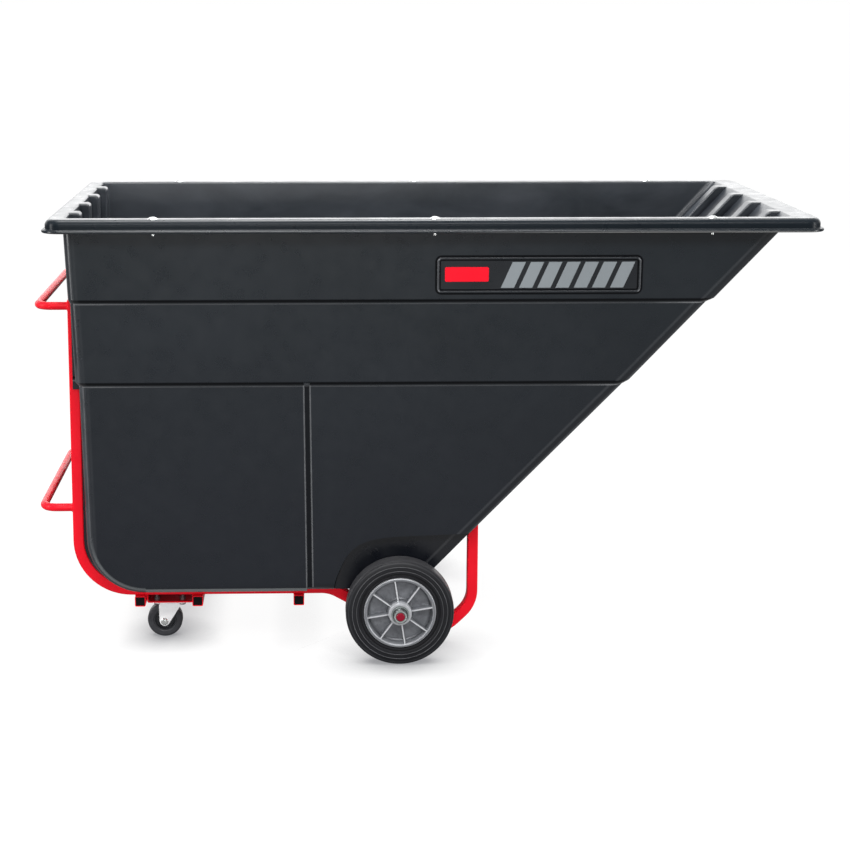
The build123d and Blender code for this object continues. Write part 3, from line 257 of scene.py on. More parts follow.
def tub_material():
    """Moulded tub: slow colour drift, grain and scuffs; paler inside as painted light with cloudy painted reflections,
    painted shade darker towards the floor outside, with painted highlights on the moulded edges and painted shade in
    the creases, grooves, rib pockets and wheel arches."""
    dark, light = (0.0053, 0.0086, 0.0118), (0.0080, 0.0117, 0.0158)
    m, nt, b = new_mat("tub_plastic")
    v = coords(nt)
    x, y, z = (axis_value(nt, k) for k in range(3))
    ay = math_node(nt, "ABSOLUTE", y, 0.0)
    drift = noise(nt, v, 3.2, 4.0, 0.55)
    fleck = noise(nt, v, 420.0, 2.0, 0.6)
    col = mix_col(nt, span(nt, drift, 0.32, 0.68, 0.0, 1.0), dark, light)
    col = mix_col(nt, span(nt, fleck, 0.45, 0.75, 0.0, 0.28), col, light)
    # where the tub's outer faces lie at this height
    width = stepped(nt, z, [(0.158, 0.330), (0.661, 0.3525), (0.671, 0.3589), (0.857, 0.3672), (0.866, 0.3736), (1.056, 0.3821)])
    back = stepped(nt, z, [(0.158, -0.7855), (0.661, -0.7945), (0.671, -0.802), (0.857, -0.8085), (0.866, -0.812), (1.056, -0.8194)])
    front = stepped(nt, z, [(0.158, -0.016), (0.661, 0.4657), (0.671, 0.4802), (0.857, 0.6524), (0.866, 0.6694), (1.056, 0.8454)])
    in_y = span(nt, math_node(nt, "SUBTRACT", width, ay), 0.0030, 0.0045, 0.0, 1.0)
    in_b = span(nt, math_node(nt, "SUBTRACT", x, back), 0.0030, 0.0045, 0.0, 1.0)
    in_f = span(nt, math_node(nt, "SUBTRACT", front, x), 0.0044, 0.0062, 0.0, 1.0)
    in_z = product(nt, span(nt, z, 0.1615, 0.1630, 0.0, 1.0), span(nt, z, 1.0500, 1.0555, 1.0, 0.0))
    # the wheel-arch recesses are pressed into the side walls from outside
    off_arch = math_node(nt, "MAXIMUM", span(nt, z, 0.300, 0.312, 0.0, 1.0), span(nt, ay, 0.3100, 0.3125, 1.0, 0.0))
    off_arch = math_node(nt, "MAXIMUM", off_arch, span(nt, x, -0.235, -0.215, 1.0, 0.0))
    arch = product(nt, math_node(nt, "SUBTRACT", 1.0, off_arch), in_y, in_f)
    inside = product(nt, in_y, in_b, in_f, in_z, off_arch)
    outside = math_node(nt, "SUBTRACT", 1.0, inside)
    tub_low = span(nt, z, 1.0200, 1.0240, 1.0, 0.0)
    wall = product(nt, outside, tub_low)
    # painted shade: darker low down outside; painted light: paler inside, with cloudy painted reflections
    col = mix_col(nt, product(nt, wall, span(nt, z, 0.95, 0.30, 0.0, 0.62)), col, (0.0010, 0.0021, 0.0068))
    cloud = noise(nt, coords(nt, (1.0, 1.0, 2.6)), 4.5, 5.0, 0.6, 0.6)
    col = mix_col(nt, product(nt, inside, span(nt, cloud, 0.34, 0.66, 0.25, 1.0)), col, (0.034, 0.0390, 0.047))
    # painted shade in the wheel-arch recesses
    col = mix_col(nt, product(nt, arch, 0.75), col, (0.0030, 0.0035, 0.0055))
    # long scuffs
    streak = noise(nt, coords(nt, (7.0, 7.0, 90.0)), 3.0, 6.0, 0.62, 0.4)
    patch = noise(nt, v, 2.3, 2.0, 0.5)
    scuff = product(nt, span(nt, streak, 0.62, 0.74, 0.0, 1.0), span(nt, patch, 0.48, 0.66, 0.0, 0.05))
    col = mix_col(nt, scuff, col, (0.042, 0.045, 0.052))
    # slope corner: painted shade on the rounded edge, with a painted highlight line where it starts
    lines = []
    for (x0, z0, x1, z1) in ((-0.016, 0.158, 0.4657, 0.661), (0.4802, 0.671, 0.6524, 0.857), (0.6694, 0.866, 0.8454, 1.056)):
        length = math.hypot(x1 - x0, z1 - z0)
        nx, nz = (z1 - z0) / length, -(x1 - x0) / length
        s = total(nt, math_node(nt, "MULTIPLY", x, nx), math_node(nt, "MULTIPLY", z, nz), -(x0 * nx + z0 * nz))
        band = product(nt, span(nt, z, z0 - 0.001, z0 + 0.001, 0.0, 1.0), span(nt, z, z1 - 0.001, z1 + 0.001, 1.0, 0.0))
        lines.append((s, band))
    edge_shade = total(nt, *[product(nt, span(nt, s, -0.021, -0.017, 0.0, 0.55), band) for s, band in lines])
    edge_highlight = total(nt, *[product(nt, near(nt, s, -0.0235, 0.0042), band) for s, band in lines])
    far_side = span(nt, ay, 0.30, 0.31, 0.0, 1.0)
    col = mix_col(nt, product(nt, edge_shade, wall), col, (0.0060, 0.0068, 0.0095))
    pale = [product(nt, edge_highlight, far_side, 0.085)]
    # back corner: painted highlights along its rounded edge
    from_back = math_node(nt, "SUBTRACT", x, back)
    pale.append(product(nt, near(nt, from_back, 0.0225, 0.0036), far_side, 0.035))
    pale.append(product(nt, near(nt, from_back, 0.0088, 0.0052), far_side, span(nt, z, 0.655, 0.665, 0.26, 0.06), span(nt, z, 0.235, 0.300, 0.0, 1.0)))
    pale.append(product(nt, span(nt, from_back, 0.016, 0.022, 0.05, 0.0), far_side))
    # steps: a painted shade line in the crease under each step, a painted highlight line just below it
    step_crease_shade = total(nt, near(nt, z, 0.8642, 0.0050), near(nt, z, 0.6688, 0.0050))
    ends = total(nt, 0.16, span(nt, x, -0.62, -0.74, 0.0, 0.22), product(nt, span(nt, z, 0.76, 0.77, 0.0, 1.0), span(nt, x, 0.52, 0.64, 0.0, 0.60)),
                 product(nt, span(nt, z, 0.76, 0.77, 1.0, 0.0), span(nt, x, 0.34, 0.45, 0.0, 0.60)))
    pale.append(product(nt, total(nt, near(nt, z, 0.8570, 0.0024), near(nt, z, 0.6612, 0.0024)), ends))
    # parting groove: painted shade inside it, painted highlights along both edges
    off = math_node(nt, "SUBTRACT", x, span(nt, z, 0.138, 0.673, -0.263, -0.269))
    low = span(nt, z, 0.662, 0.664, 1.0, 0.0)
    groove = product(nt, span(nt, math_node(nt, "ABSOLUTE", off, 0.0), 0.0050, 0.0062, 0.75, 0.0), low, far_side)
    pale.append(product(nt, near(nt, math_node(nt, "ABSOLUTE", off, 0.0), 0.0072, 0.0022), low, far_side, 0.46))
    # bottom edge from the heel to the groove: a painted reflection of the floor on the rounded edge
    hx, hz = math_node(nt, "ADD", x, 0.6505), math_node(nt, "SUBTRACT", z, 0.289)
    heel_r = math_node(nt, "SQRT", total(nt, product(nt, hx, hx), product(nt, hz, hz)), 0.0)
    heel = product(nt, near(nt, heel_r, 0.1250, 0.0066), span(nt, x, -0.652, -0.650, 1.0, 0.0),
                   span(nt, z, 0.230, 0.300, 1.0, 0.0))
    foot = product(nt, span(nt, z, 0.1640, 0.1670, 1.0, 0.0), span(nt, x, -0.652, -0.650, 0.0, 1.0),
                   span(nt, x, -0.268, -0.266, 1.0, 0.0))
    foot_reflection = product(nt, total(nt, product(nt, heel, 0.62), foot), span(nt, ay, 0.296, 0.300, 0.0, 1.0), wall)
    # side panel border: painted highlight on its crest, strongest at the corners and uprights, painted shade lines at
    # its feet, and a darker field inside
    qx = math_node(nt, "SUBTRACT", math_node(nt, "ABSOLUTE", math_node(nt, "SUBTRACT", x, 0.261), 0.0), 0.233 - 0.011)
    qz = math_node(nt, "SUBTRACT", math_node(nt, "ABSOLUTE", math_node(nt, "SUBTRACT", z, 0.9235), 0.0), 0.0415 - 0.011)
    px, pz = math_node(nt, "MAXIMUM", qx, 0.0), math_node(nt, "MAXIMUM", qz, 0.0)
    d = total(nt, math_node(nt, "SQRT", total(nt, product(nt, px, px), product(nt, pz, pz)), 0.0),
              math_node(nt, "MINIMUM", math_node(nt, "MAXIMUM", qx, qz), 0.0), -0.011)
    on_side = span(nt, ay, 0.366, 0.369, 0.0, 1.0)
    crest = product(nt, near(nt, d, -0.0022, 0.0022), on_side)
    feet = product(nt, total(nt, near(nt, d, 0.0020, 0.0034), near(nt, d, -0.0070, 0.0024)), on_side)
    field = product(nt, span(nt, d, -0.0062, -0.0050, 0.55, 0.0), on_side, wall)
    col = mix_col(nt, field, col, (0.0060, 0.0068, 0.0092))
    corners = product(nt, span(nt, px, 0.002, 0.006, 0.0, 1.0), span(nt, pz, 0.002, 0.006, 0.0, 1.0), 0.60)
    uprights = product(nt, span(nt, px, 0.004, 0.009, 0.0, 0.26), 1.0)
    pale.append(product(nt, crest, total(nt, corners, uprights, 0.03)))
    shade_lines = math_node(nt, "MINIMUM", product(nt, total(nt, step_crease_shade, groove, feet), wall), 0.92)
    # grime on the rim: the face of the roll, and the outer edges of its top, are duller than its crown
    roll = product(nt, span(nt, z, 1.0335, 1.0345, 0.0, 1.0), span(nt, z, 1.0525, 1.0540, 1.0, 0.0), span(nt, ay, 0.400, 0.404, 0.0, 1.0))
    brink = total(nt, span(nt, x, 0.8845, 0.8900, 0.0, 1.0), span(nt, x, -0.8405, -0.8460, 0.0, 1.0),
                  product(nt, span(nt, y, 0.394, 0.402, 0.0, 1.0), span(nt, z, 1.030, 1.032, 0.0, 1.0)))
    # painted highlight along the lower edge of the lip, stronger to the right
    lip = product(nt, near(nt, z, 1.0275, 0.0022), span(nt, ay, 0.4205, 0.4225, 0.0, 1.0), span(nt, x, 0.05, 0.42, 0.0, 0.34))
    lip_highlight = math_node(nt, "MINIMUM", lip, 1.0)
    # painted shade in the pockets between the ribs of the slope and of the back wall
    floor_s = total(nt, near(nt, lines[2][0], -0.0075, 0.0090), 0.0)
    floor_b = near(nt, from_back, 0.0075, 0.0090)
    low_in = span(nt, z, 1.047, 1.020, 0.0, 1.0)
    pocket_shade = math_node(nt, "MINIMUM", product(nt, total(nt, floor_s, floor_b), low_in, span(nt, z, 0.70, 0.72, 0.0, 1.0), inside), 1.0)
    col = mix_col(nt, product(nt, pocket_shade, 0.8), col, (0.012, 0.0138, 0.0175))
    dull = math_node(nt, "MINIMUM", total(nt, product(nt, shade_lines, 0.85), product(nt, roll, 0.70), product(nt, brink, 0.85),
                                          product(nt, pocket_shade, 0.60)), 0.88)
    # painted shade lines in the step creases, parting groove and border feet
    col = mix_col(nt, shade_lines, col, (0.0022, 0.0025, 0.0034))
    # painted highlights on the moulded edges, broken up by noise
    patchiness = noise(nt, v, 38.0, 3.0, 0.6)
    painted_highlight_lines = product(nt, math_node(nt, "MINIMUM", product(nt, total(nt, *pale), wall), 1.0), span(nt, patchiness, 0.2, 0.6, 0.72, 1.0))
    col = mix_col(nt, painted_highlight_lines, col, (0.24, 0.245, 0.255))
    # painted highlight on the lip
    col = mix_col(nt, lip_highlight, col, (0.42, 0.42, 0.41))
    # painted reflection of the floor along the bottom edge
    col = mix_col(nt, product(nt, foot_reflection, 0.85), col, (0.175, 0.190, 0.195))
    r = span(nt, noise(nt, v, 26.0, 5.0, 0.6), 0.3, 0.7, 0.25, 0.35)
    r = total(nt, r, math_node(nt, "MULTIPLY", inside, 0.06))
    nt.links.new(col, b.inputs["Base Color"])
    nt.links.new(r, b.inputs["Roughness"])
    n1 = bump(nt, noise(nt, v, 11.0, 2.0, 0.4), 0.30, 0.0016)
    n2 = bump(nt, noise(nt, v, 90.0, 2.0, 0.5), 0.18, 0.00018, n1)
    n3 = bump(nt, voronoi(nt, v, 950.0), 0.10, 0.00006, n2)
    nt.links.new(n3, b.inputs["Normal"])
    nt.links.new(span(nt, dull, 0.0, 1.0, 0.5, 0.0), b.inputs["Specular IOR Level"])
    return m


def wheel_radius(nt):
    hx = math_node(nt, "ADD", axis_value(nt, 0), 0.053)
    hz = math_node(nt, "SUBTRACT", axis_value(nt, 2), 0.127)
    return math_node(nt, "SQRT", total(nt, product(nt, hx, hx), product(nt, hz, hz)), 0.0)


def tyre_material():
    """Moulded rubber: matt side walls with painted highlights on the ridges, painted shade in the grooves, a worn dusty
    tread.
    """
    m, nt, b = new_mat("tyre_black")
    v = coords(nt)
    r = wheel_radius(nt)
    drift = noise(nt, v, 22.0, 5.0, 0.6)
    col = mix_col(nt, span(nt, drift, 0.3, 0.7, 0.0, 1.0), (0.0042, 0.0045, 0.0064), (0.0074, 0.0078, 0.0102))
    bloom = noise(nt, v, 75.0, 4.0, 0.65)
    col = mix_col(nt, span(nt, bloom, 0.55, 0.8, 0.0, 0.22), col, (0.032, 0.033, 0.038))
    patchiness = span(nt, noise(nt, v, 30.0, 3.0, 0.6), 0.25, 0.65, 0.45, 1.0)
    # painted highlights on the moulded sidewall ridges
    ridge_highlights = total(nt, product(nt, near(nt, r, 0.1016, 0.0012), 0.34), product(nt, near(nt, r, 0.1116, 0.0012), 0.42),
                   product(nt, near(nt, r, 0.1205, 0.0024), 0.10))
    tread = span(nt, r, 0.1245, 0.1266, 0.0, 0.70)
    # painted shade in the sidewall grooves
    groove_shade = total(nt, near(nt, r, 0.0925, 0.0022), product(nt, near(nt, r, 0.1043, 0.0012), 0.6),
                    product(nt, near(nt, r, 0.1142, 0.0012), 0.6), near(nt, r, 0.0857, 0.0010))
    col = mix_col(nt, math_node(nt, "MINIMUM", groove_shade, 0.85), col, (0.003, 0.003, 0.0038))
    col = mix_col(nt, product(nt, tread, patchiness), col, (0.062, 0.062, 0.066))
    col = mix_col(nt, product(nt, ridge_highlights, patchiness), col, (0.17, 0.175, 0.185))
    nt.links.new(col, b.inputs["Base Color"])
    nt.links.new(span(nt, bloom, 0.3, 0.75, 0.40, 0.55), b.inputs["Roughness"])
    n1 = bump(nt, noise(nt, v, 520.0, 3.0, 0.55), 0.4, 0.00015)
    n2 = bump(nt, noise(nt, v, 70.0, 2.0, 0.5), 0.25, 0.0004, n1)
    nt.links.new(n2, b.inputs["Normal"])
    b.inputs["Specular IOR Level"].default_value = 0.3
    return m


def hub_material():
    """Cast grey hub: cloudy dull web; edges of spokes, boss and rim lighter, partly rubbed metal and partly painted
    highlight; painted shade where the web meets ring and boss.
    """
    m, nt, b = new_mat("hub_grey")
    v = coords(nt)
    r = wheel_radius(nt)
    out = math_node(nt, "ABSOLUTE", math_node(nt, "SUBTRACT", math_node(nt, "ABSOLUTE", axis_value(nt, 1), 0.0), 0.3745), 0.0)
    cloud = noise(nt, v, 46.0, 5.0, 0.62)
    col = mix_col(nt, span(nt, cloud, 0.3, 0.7, 0.0, 1.0), (0.116, 0.121, 0.133), (0.214, 0.222, 0.239))
    spots = noise(nt, v, 160.0, 3.0, 0.7)
    col = mix_col(nt, span(nt, spots, 0.55, 0.75, 0.0, 0.5), col, (0.07, 0.074, 0.084))
    # painted shade where the web meets the ring and the boss
    dark_where_parts_meet = total(nt, span(nt, r, 0.0665, 0.0725, 0.0, 0.6), span(nt, r, 0.036, 0.029, 0.0, 0.5))
    low = span(nt, out, 0.010, 0.004, 0.0, 1.0)
    col = mix_col(nt, product(nt, dark_where_parts_meet, low), col, (0.030, 0.032, 0.037))
    # spoke tops and flanks lighter: rubbed metal and painted highlight
    wear_and_sheen = span(nt, noise(nt, v, 90.0, 3.0, 0.6), 0.25, 0.6, 0.75, 1.0)
    tops = product(nt, span(nt, out, 0.0188, 0.0202, 0.0, 1.0), span(nt, r, 0.030, 0.034, 0.6, 1.0), wear_and_sheen)
    flank = product(nt, span(nt, out, 0.004, 0.019, 0.0, 0.42), wear_and_sheen)
    col = mix_col(nt, flank, col, (0.36, 0.37, 0.39))
    col = mix_col(nt, tops, col, (0.62, 0.63, 0.65))
    # the rim ring's face stays duller between its two edges, which carry the rubbed, painted-highlight tone
    ring = product(nt, near(nt, r, 0.0806, 0.0042), span(nt, out, 0.015, 0.019, 0.0, 0.92))
    col = mix_col(nt, ring, col, (0.150, 0.156, 0.170))
    nt.links.new(col, b.inputs["Base Color"])
    b.inputs["Metallic"].default_value = 0.35
    nt.links.new(span(nt, cloud, 0.3, 0.7, 0.30, 0.44), b.inputs["Roughness"])
    n1 = bump(nt, noise(nt, v, 300.0, 3.0, 0.6), 0.22, 0.00010)
    n2 = bump(nt, noise(nt, v, 70.0, 3.0, 0.6), 0.30, 0.00035, n1)
    nt.links.new(n2, b.inputs["Normal"])
    return m


def axle_zinc_material():
    """Yellowed zinc plate on the axle's washers and nuts, darker rings where they meet."""
    m, nt, b = new_mat("axle_zinc")
    v = coords(nt)
    r = wheel_radius(nt)
    cloud = noise(nt, v, 120.0, 5.0, 0.62)
    col = mix_col(nt, span(nt, cloud, 0.3, 0.7, 0.0, 1.0), (0.29, 0.325, 0.32), (0.50, 0.535, 0.53))
    spots = noise(nt, v, 420.0, 3.0, 0.7)
    col = mix_col(nt, span(nt, spots, 0.56, 0.75, 0.0, 0.5), col, (0.24, 0.25, 0.24))
    # darker rings where washers, nut and axle meet
    dark_where_parts_meet = total(nt, near(nt, r, 0.0166, 0.0026), near(nt, r, 0.0104, 0.0014), product(nt, near(nt, r, 0.0212, 0.0014), 0.8))
    col = mix_col(nt, math_node(nt, "MINIMUM", dark_where_parts_meet, 0.9), col, (0.03, 0.032, 0.034))
    nt.links.new(col, b.inputs["Base Color"])
    b.inputs["Metallic"].default_value = 0.55
    nt.links.new(span(nt, cloud, 0.3, 0.7, 0.16, 0.30), b.inputs["Roughness"])
    nt.links.new(bump(nt, noise(nt, v, 260.0, 3.0, 0.6), 0.25, 0.0001), b.inputs["Normal"])
    return m


def channel_material():
    """The frame's paint on the caster channel, with painted shade deep inside the channel."""
    m = paint("red_channel", (0.86, 0.0055, 0.017), (0.95, 0.0075, 0.022), 0.36, 0.16, 0.0)
    nt = m.node_tree
    b = nt.nodes["Principled BSDF"]
    clean = b.inputs["Base Color"].links[0].from_socket
    lo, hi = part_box("caster_channel")
    ay = math_node(nt, "ABSOLUTE", axis_value(nt, 1), 0.0)
    x, z = axis_value(nt, 0), axis_value(nt, 2)
    # painted shade deep inside the channel, varied by noise
    deep = product(nt, span(nt, ay, hi.y - 0.0032, hi.y - 0.0012, 1.0, 0.0),
                   span(nt, x, lo.x + 0.0022, lo.x + 0.0036, 0.0, 1.0), span(nt, x, hi.x - 0.0036, hi.x - 0.0022, 1.0, 0.0),
                   span(nt, z, lo.z + 0.0022, lo.z + 0.0036, 0.0, 1.0))
    inner_shade_noise = span(nt, noise(nt, coords(nt), 40.0, 4.0, 0.6), 0.25, 0.65, 0.78, 0.97)
    shaded_inside = mix_col(nt, product(nt, deep, inner_shade_noise), clean, (0.030, 0.0065, 0.014))
    nt.links.new(shaded_inside, b.inputs["Base Color"])
    return m


M = {
    "tub": tub_material(),
    "red": paint("frame_red", (0.76, 0.0050, 0.016), (0.85, 0.0070, 0.021), 0.36, 0.16, 0.0),
    "axle_red": paint("axle_red", (0.20, 0.0035, 0.016), (0.26, 0.0045, 0.020), 0.34, 0.2, 0.0),
    "zinc": metal("zinc_bright", (0.88, 0.89, 0.90), (0.95, 0.955, 0.96), 0.34, (1, 1, 14), (0.66, 0.67, 0.68), 0.2, 0.0),
    "axle_zinc": axle_zinc_material(),
    "red_channel": channel_material(),
    "fastener": metal("zinc_fastener", (0.60, 0.62, 0.61), (0.82, 0.84, 0.83), 0.20, (6, 6, 6), amount=0.25, metallic=0.85),
    "bolt_in_shade": metal("bolt_in_shade", (0.10, 0.075, 0.08), (0.17, 0.13, 0.135), 0.45, (6, 6, 6), (0.08, 0.02, 0.025), 0.5, 0.5),
    "hub": hub_material(),
    "tyre": tyre_material(),
    "tread": rubber("tread_dark", (0.026, 0.027, 0.031), (0.040, 0.042, 0.047), 0.5, 0.25),
    "core": plastic("core_dark", (0.016, 0.017, 0.020), (0.026, 0.028, 0.032), 0.5, 0.3, 0.2, 0.4),
    "plug": plastic("plug_black", (0.0028, 0.0028, 0.0032), (0.005, 0.005, 0.0056), 0.55, 0.08, 0.2, 0.4),
    "bushing": plastic("bushing_grey", (0.22, 0.225, 0.235), (0.30, 0.305, 0.32), 0.45, 0.5, 0.2, 0.4),
    "reflector": plastic("reflector_red", (0.84, 0.006, 0.020), (0.92, 0.010, 0.028), 0.32, 0.12, 0.1, 0.2),
    "stripe": plastic("stripe_grey", (0.215, 0.238, 0.252), (0.255, 0.283, 0.300), 0.38, 0.25, 0.1, 0.2),
}
# bolts in the caster channel get a dark maroon material as painted shade, since they sit in the shade inside the
# channel
NODE_LOOK = {"caster_bolts": "bolt_in_shade", "caster_nuts": "bolt_in_shade", "axle_nuts": "axle_zinc", "axle_washers": "axle_zinc",
             "caster_channel": "red_channel"}
SLOT = {"tub_plastic": "tub", "frame_red": "red", "axle_red": "axle_red", "zinc_bright": "zinc",
        "zinc_fastener": "fastener", "hub_grey": "hub", "tyre_black": "tyre", "tread_dark": "tread", "core_dark": "core",
        "plug_black": "plug", "bushing_grey": "bushing", "reflector_red": "reflector", "stripe_grey": "stripe"}
for part in frame["record"]["subparts"]:
    ob = nodes[part["node"]]
    ob.data.materials.clear()
    ob.data.materials.append(M[NODE_LOOK.get(part["node"], SLOT[part["material_slot"]])])


# ------------------------------------------------------------------ detail pieces
def add_mesh(name, verts, faces, mat, body, smooth=True):
    me = bpy.data.meshes.new(name)
    me.from_pydata([tuple(v) for v in verts], [], faces)
    bm = bmesh.new()
    bm.from_mesh(me)
    bmesh.ops.remove_doubles(bm, verts=bm.verts, dist=1e-6)
    bmesh.ops.recalc_face_normals(bm, faces=bm.faces)
    bm.to_mesh(me)
    bm.free()
    if smooth:
        for p in me.polygons:
            p.use_smooth = True
    ob = bpy.data.objects.new(name, me)
    scene.collection.objects.link(ob)
    me.materials.append(mat)
    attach(ob, body)
    return ob


def weld_mesh(path, closed, r, pitch=0.0022, seg=10):
    """Verts and faces of a weld bead: a thin rope whose radius swells once per ripple."""
    pts = []
    n = len(path)
    for i in range(n if closed else n - 1):
        a, b = Vector(path[i]), Vector(path[(i + 1) % n])
        steps = max(1, int((b - a).length / (pitch / 4)))
        for k in range(steps):
            pts.append(a.lerp(b, k / steps))
    if not closed:
        pts.append(Vector(path[-1]))
    verts, faces, run = [], [], 0.0
    m = len(pts)
    for i, p in enumerate(pts):
        t = (pts[(i + 1) % m] - pts[i - 1]) if closed else (pts[min(i + 1, m - 1)] - pts[max(i - 1, 0)])
        t.normalize()
        if i:
            run += (p - pts[i - 1]).length
        up = Vector((0, 0, 1)) if abs(t.z) < 0.9 else Vector((1, 0, 0))
        u = t.cross(up).normalized()
        w = u.cross(t)
        rr = r * (0.86 + 0.16 * math.sin(2 * math.pi * run / pitch) + 0.05 * math.sin(run * 410.0))
        if not closed and (i == 0 or i == m - 1):
            rr *= 0.35
        for k in range(seg):
            a = 2 * math.pi * k / seg
            verts.append(p + u * math.cos(a) * rr + w * math.sin(a) * rr)
    rings = m if closed else m - 1
    for i in range(rings):
        for k in range(seg):
            a, b = i * seg + k, i * seg + (k + 1) % seg
            c, d = ((i + 1) % m) * seg + (k + 1) % seg, ((i + 1) % m) * seg + k
            faces.append((a, b, c, d))
    if not closed:
        faces.append(tuple(range(seg)))
        faces.append(tuple((m - 1) * seg + k for k in range(seg)))
    return verts, faces


def welds(name, paths, r, body="cart"):
    verts, faces = [], []
    for path, closed in paths:
        v, f = weld_mesh(path, closed, r)
        o = len(verts)
        verts += v
        faces += [tuple(i + o for i in q) for q in f]
    return add_mesh(name, verts, faces, M["red"], body)


def ring_path(c, axis, r, n=28, a0=0.0, a1=360.0):
    out = []
    full = abs(a1 - a0) >= 359.9
    for k in range(n if full else n + 1):
        a = math.radians(a0 + (a1 - a0) * k / n)
        if axis == "X":
            out.append((c[0], c[1] + r * math.cos(a), c[2] + r * math.sin(a)))
        elif axis == "Y":
            out.append((c[0] + r * math.cos(a), c[1], c[2] + r * math.sin(a)))
        else:
            out.append((c[0] + r * math.cos(a), c[1] + r * math.sin(a), c[2]))
    return out, full


T = 0.0254
RAIL_Y, UP_X = 0.2608, -0.8133
RAIL_BOT = 0.158 - T
paths = []
for sgn in (-1, 1):
    for z in (0.835, 0.348):
        pts, full = ring_path((UP_X - T / 2 - 0.0006, sgn * RAIL_Y, z), "X", 0.0099)
        paths.append((pts, full))
welds("welds_handles", paths, 0.0016)

paths = []
for x in (-0.669, -0.532, -0.290):
    for sgn in (-1, 1):
        for dx in (-T / 2 + 0.0010, T / 2 - 0.0010):
            paths.append(([(x + dx, sgn * (RAIL_Y - T / 2 + 0.002), RAIL_BOT - 0.0008),
                           (x + dx, sgn * (RAIL_Y + T / 2 - 0.002), RAIL_BOT - 0.0008)], False))
welds("welds_cross", paths, 0.0017)

# beads along the caster channel's lips where they meet the two cross tubes
lo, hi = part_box("caster_channel")
paths = []
for x in (lo.x - 0.0009, hi.x + 0.0009):
    for k in range(-3, 4):
        y = k * 0.072
        paths.append(([(x, y - 0.014, 0.1083), (x, y + 0.014, 0.1083)], False))
welds("welds_channel", paths, 0.0017)

# hanger plates on the rails: along the straight run of the tube, then round its bend
ux, uz = 0.8723, -0.4890
nx, nz = 0.4890, 0.8723
line = [(-0.2153 + ux * t + nx * 0.0131, 0.1453 + uz * t + nz * 0.0131) for t in (0.118, 0.145, 0.172, 0.1993)]
cx, cz = -0.2153 + ux * 0.1993 + nx * 0.108, 0.1453 + uz * 0.1993 + nz * 0.108
line += [(cx + 0.0949 * math.cos(math.radians(a)), cz + 0.0949 * math.sin(math.radians(a))) for a in (-114, -108, -102, -96, -91)]
paths = []
for sgn in (-1, 1):
    for off in (-0.0037, 0.0037):
        paths.append(([(x, sgn * RAIL_Y + off, z) for x, z in line], False))
welds("welds_hangers", paths, 0.0018)

# saddle to upright ends
lo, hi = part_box("front_saddle")
paths = []
for sgn in (-1, 1):
    yc = sgn * RAIL_Y
    x0, x1 = 0.1275 - T / 2, 0.1275 + T / 2
    z_at = lambda x: 0.158 + (x + 0.016) * (0.661 - 0.158) / (0.4657 + 0.016) - 0.0058
    paths.append(([(x0 + 0.002, yc + sgn * (T / 2 + 0.0003), z_at(x0 + 0.002)),
                   (x1 - 0.002, yc + sgn * (T / 2 + 0.0003), z_at(x1 - 0.002))], False))
    paths.append(([(x1 + 0.0003, yc - T / 2 + 0.002, z_at(x1 + 0.0003)), (x1 + 0.0003, yc + T / 2 - 0.002, z_at(x1 + 0.0003))], False))
welds("welds_saddle", paths, 0.0016)


def helix_thread(name, c, y0, y1, r, pitch, depth, mat, body, seg=28):
    """Raised screw thread running along Y."""
    verts, faces = [], []
    turns = abs(y1 - y0) / pitch
    n = int(turns * seg)
    s = 1 if y1 > y0 else -1
    for i in range(n + 1):
        a = 2 * math.pi * i / seg
        y = y0 + s * pitch * i / seg
        fade = min(1.0, i / 12, (n - i) / 12)
        ca, sa = math.cos(a), math.sin(a)
        for dy, rr in ((-0.46 * pitch, -0.0002), (0.0, depth * fade), (0.46 * pitch, -0.0002)):
            verts.append((c[0] + (r + rr) * ca, y + dy, c[1] + (r + rr) * sa))
    for i in range(n):
        for k in range(2):
            a = i * 3 + k
            faces.append((a, a + 1, a + 4, a + 3))
        a = i * 3
        faces.append((a, a + 3, a + 5, a + 2))
    faces.append((0, 1, 2))
    faces.append((3 * n, 3 * n + 2, 3 * n + 1))
    return add_mesh(name, verts, faces, mat, body)


nlo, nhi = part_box("axle_nuts")
alo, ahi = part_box("main_axle")
for side, sgn in (("right", -1), ("left", 1)):
    helix_thread("axle_thread_" + side, (-0.053, 0.127), sgn * (nhi.y + 0.0008), sgn * (ahi.y - 0.0016), 0.00952, 0.0012, 0.00035,
                 M["axle_red"], "cart")


# ------------------------------------------------------------------ floor, lights, camera
def floor_material():
    """Pale seamless floor: even white to the eye, with soft shading only close to what stands on it,
    and less light thrown back up than a lit white floor of this size would give."""
    m, nt, b = new_mat("floor_pale")
    out = nt.nodes["Material Output"]
    v = coords(nt)
    ao = nt.nodes.new("ShaderNodeAmbientOcclusion")
    ao.samples = 14
    ao.inputs["Distance"].default_value = 0.125
    shade = span(nt, ao.outputs["AO"], 0.42, 0.98, 0.0, 1.0)
    em = nt.nodes.new("ShaderNodeEmission")
    nt.links.new(mix_col(nt, shade, (0.30, 0.305, 0.32), (1.0, 1.0, 1.0)), em.inputs["Color"])
    ray = nt.nodes.new("ShaderNodeLightPath")
    nt.links.new(span(nt, ray.outputs["Is Camera Ray"], 0.0, 1.0, 0.30, 0.95), em.inputs["Strength"])
    add = nt.nodes.new("ShaderNodeAddShader")
    b.inputs["Roughness"].default_value = 0.9
    b.inputs["Specular IOR Level"].default_value = 0.0
    nt.links.new(mix_col(nt, span(nt, noise(nt, v, 0.7, 2.0), 0.3, 0.7, 0.0, 1.0), (0.078, 0.078, 0.079), (0.082, 0.082, 0.082)),
                 b.inputs["Base Color"])
    nt.links.new(b.outputs[0], add.inputs[0])
    nt.links.new(em.outputs[0], add.inputs[1])
    nt.links.new(add.outputs[0], out.inputs["Surface"])
    return m


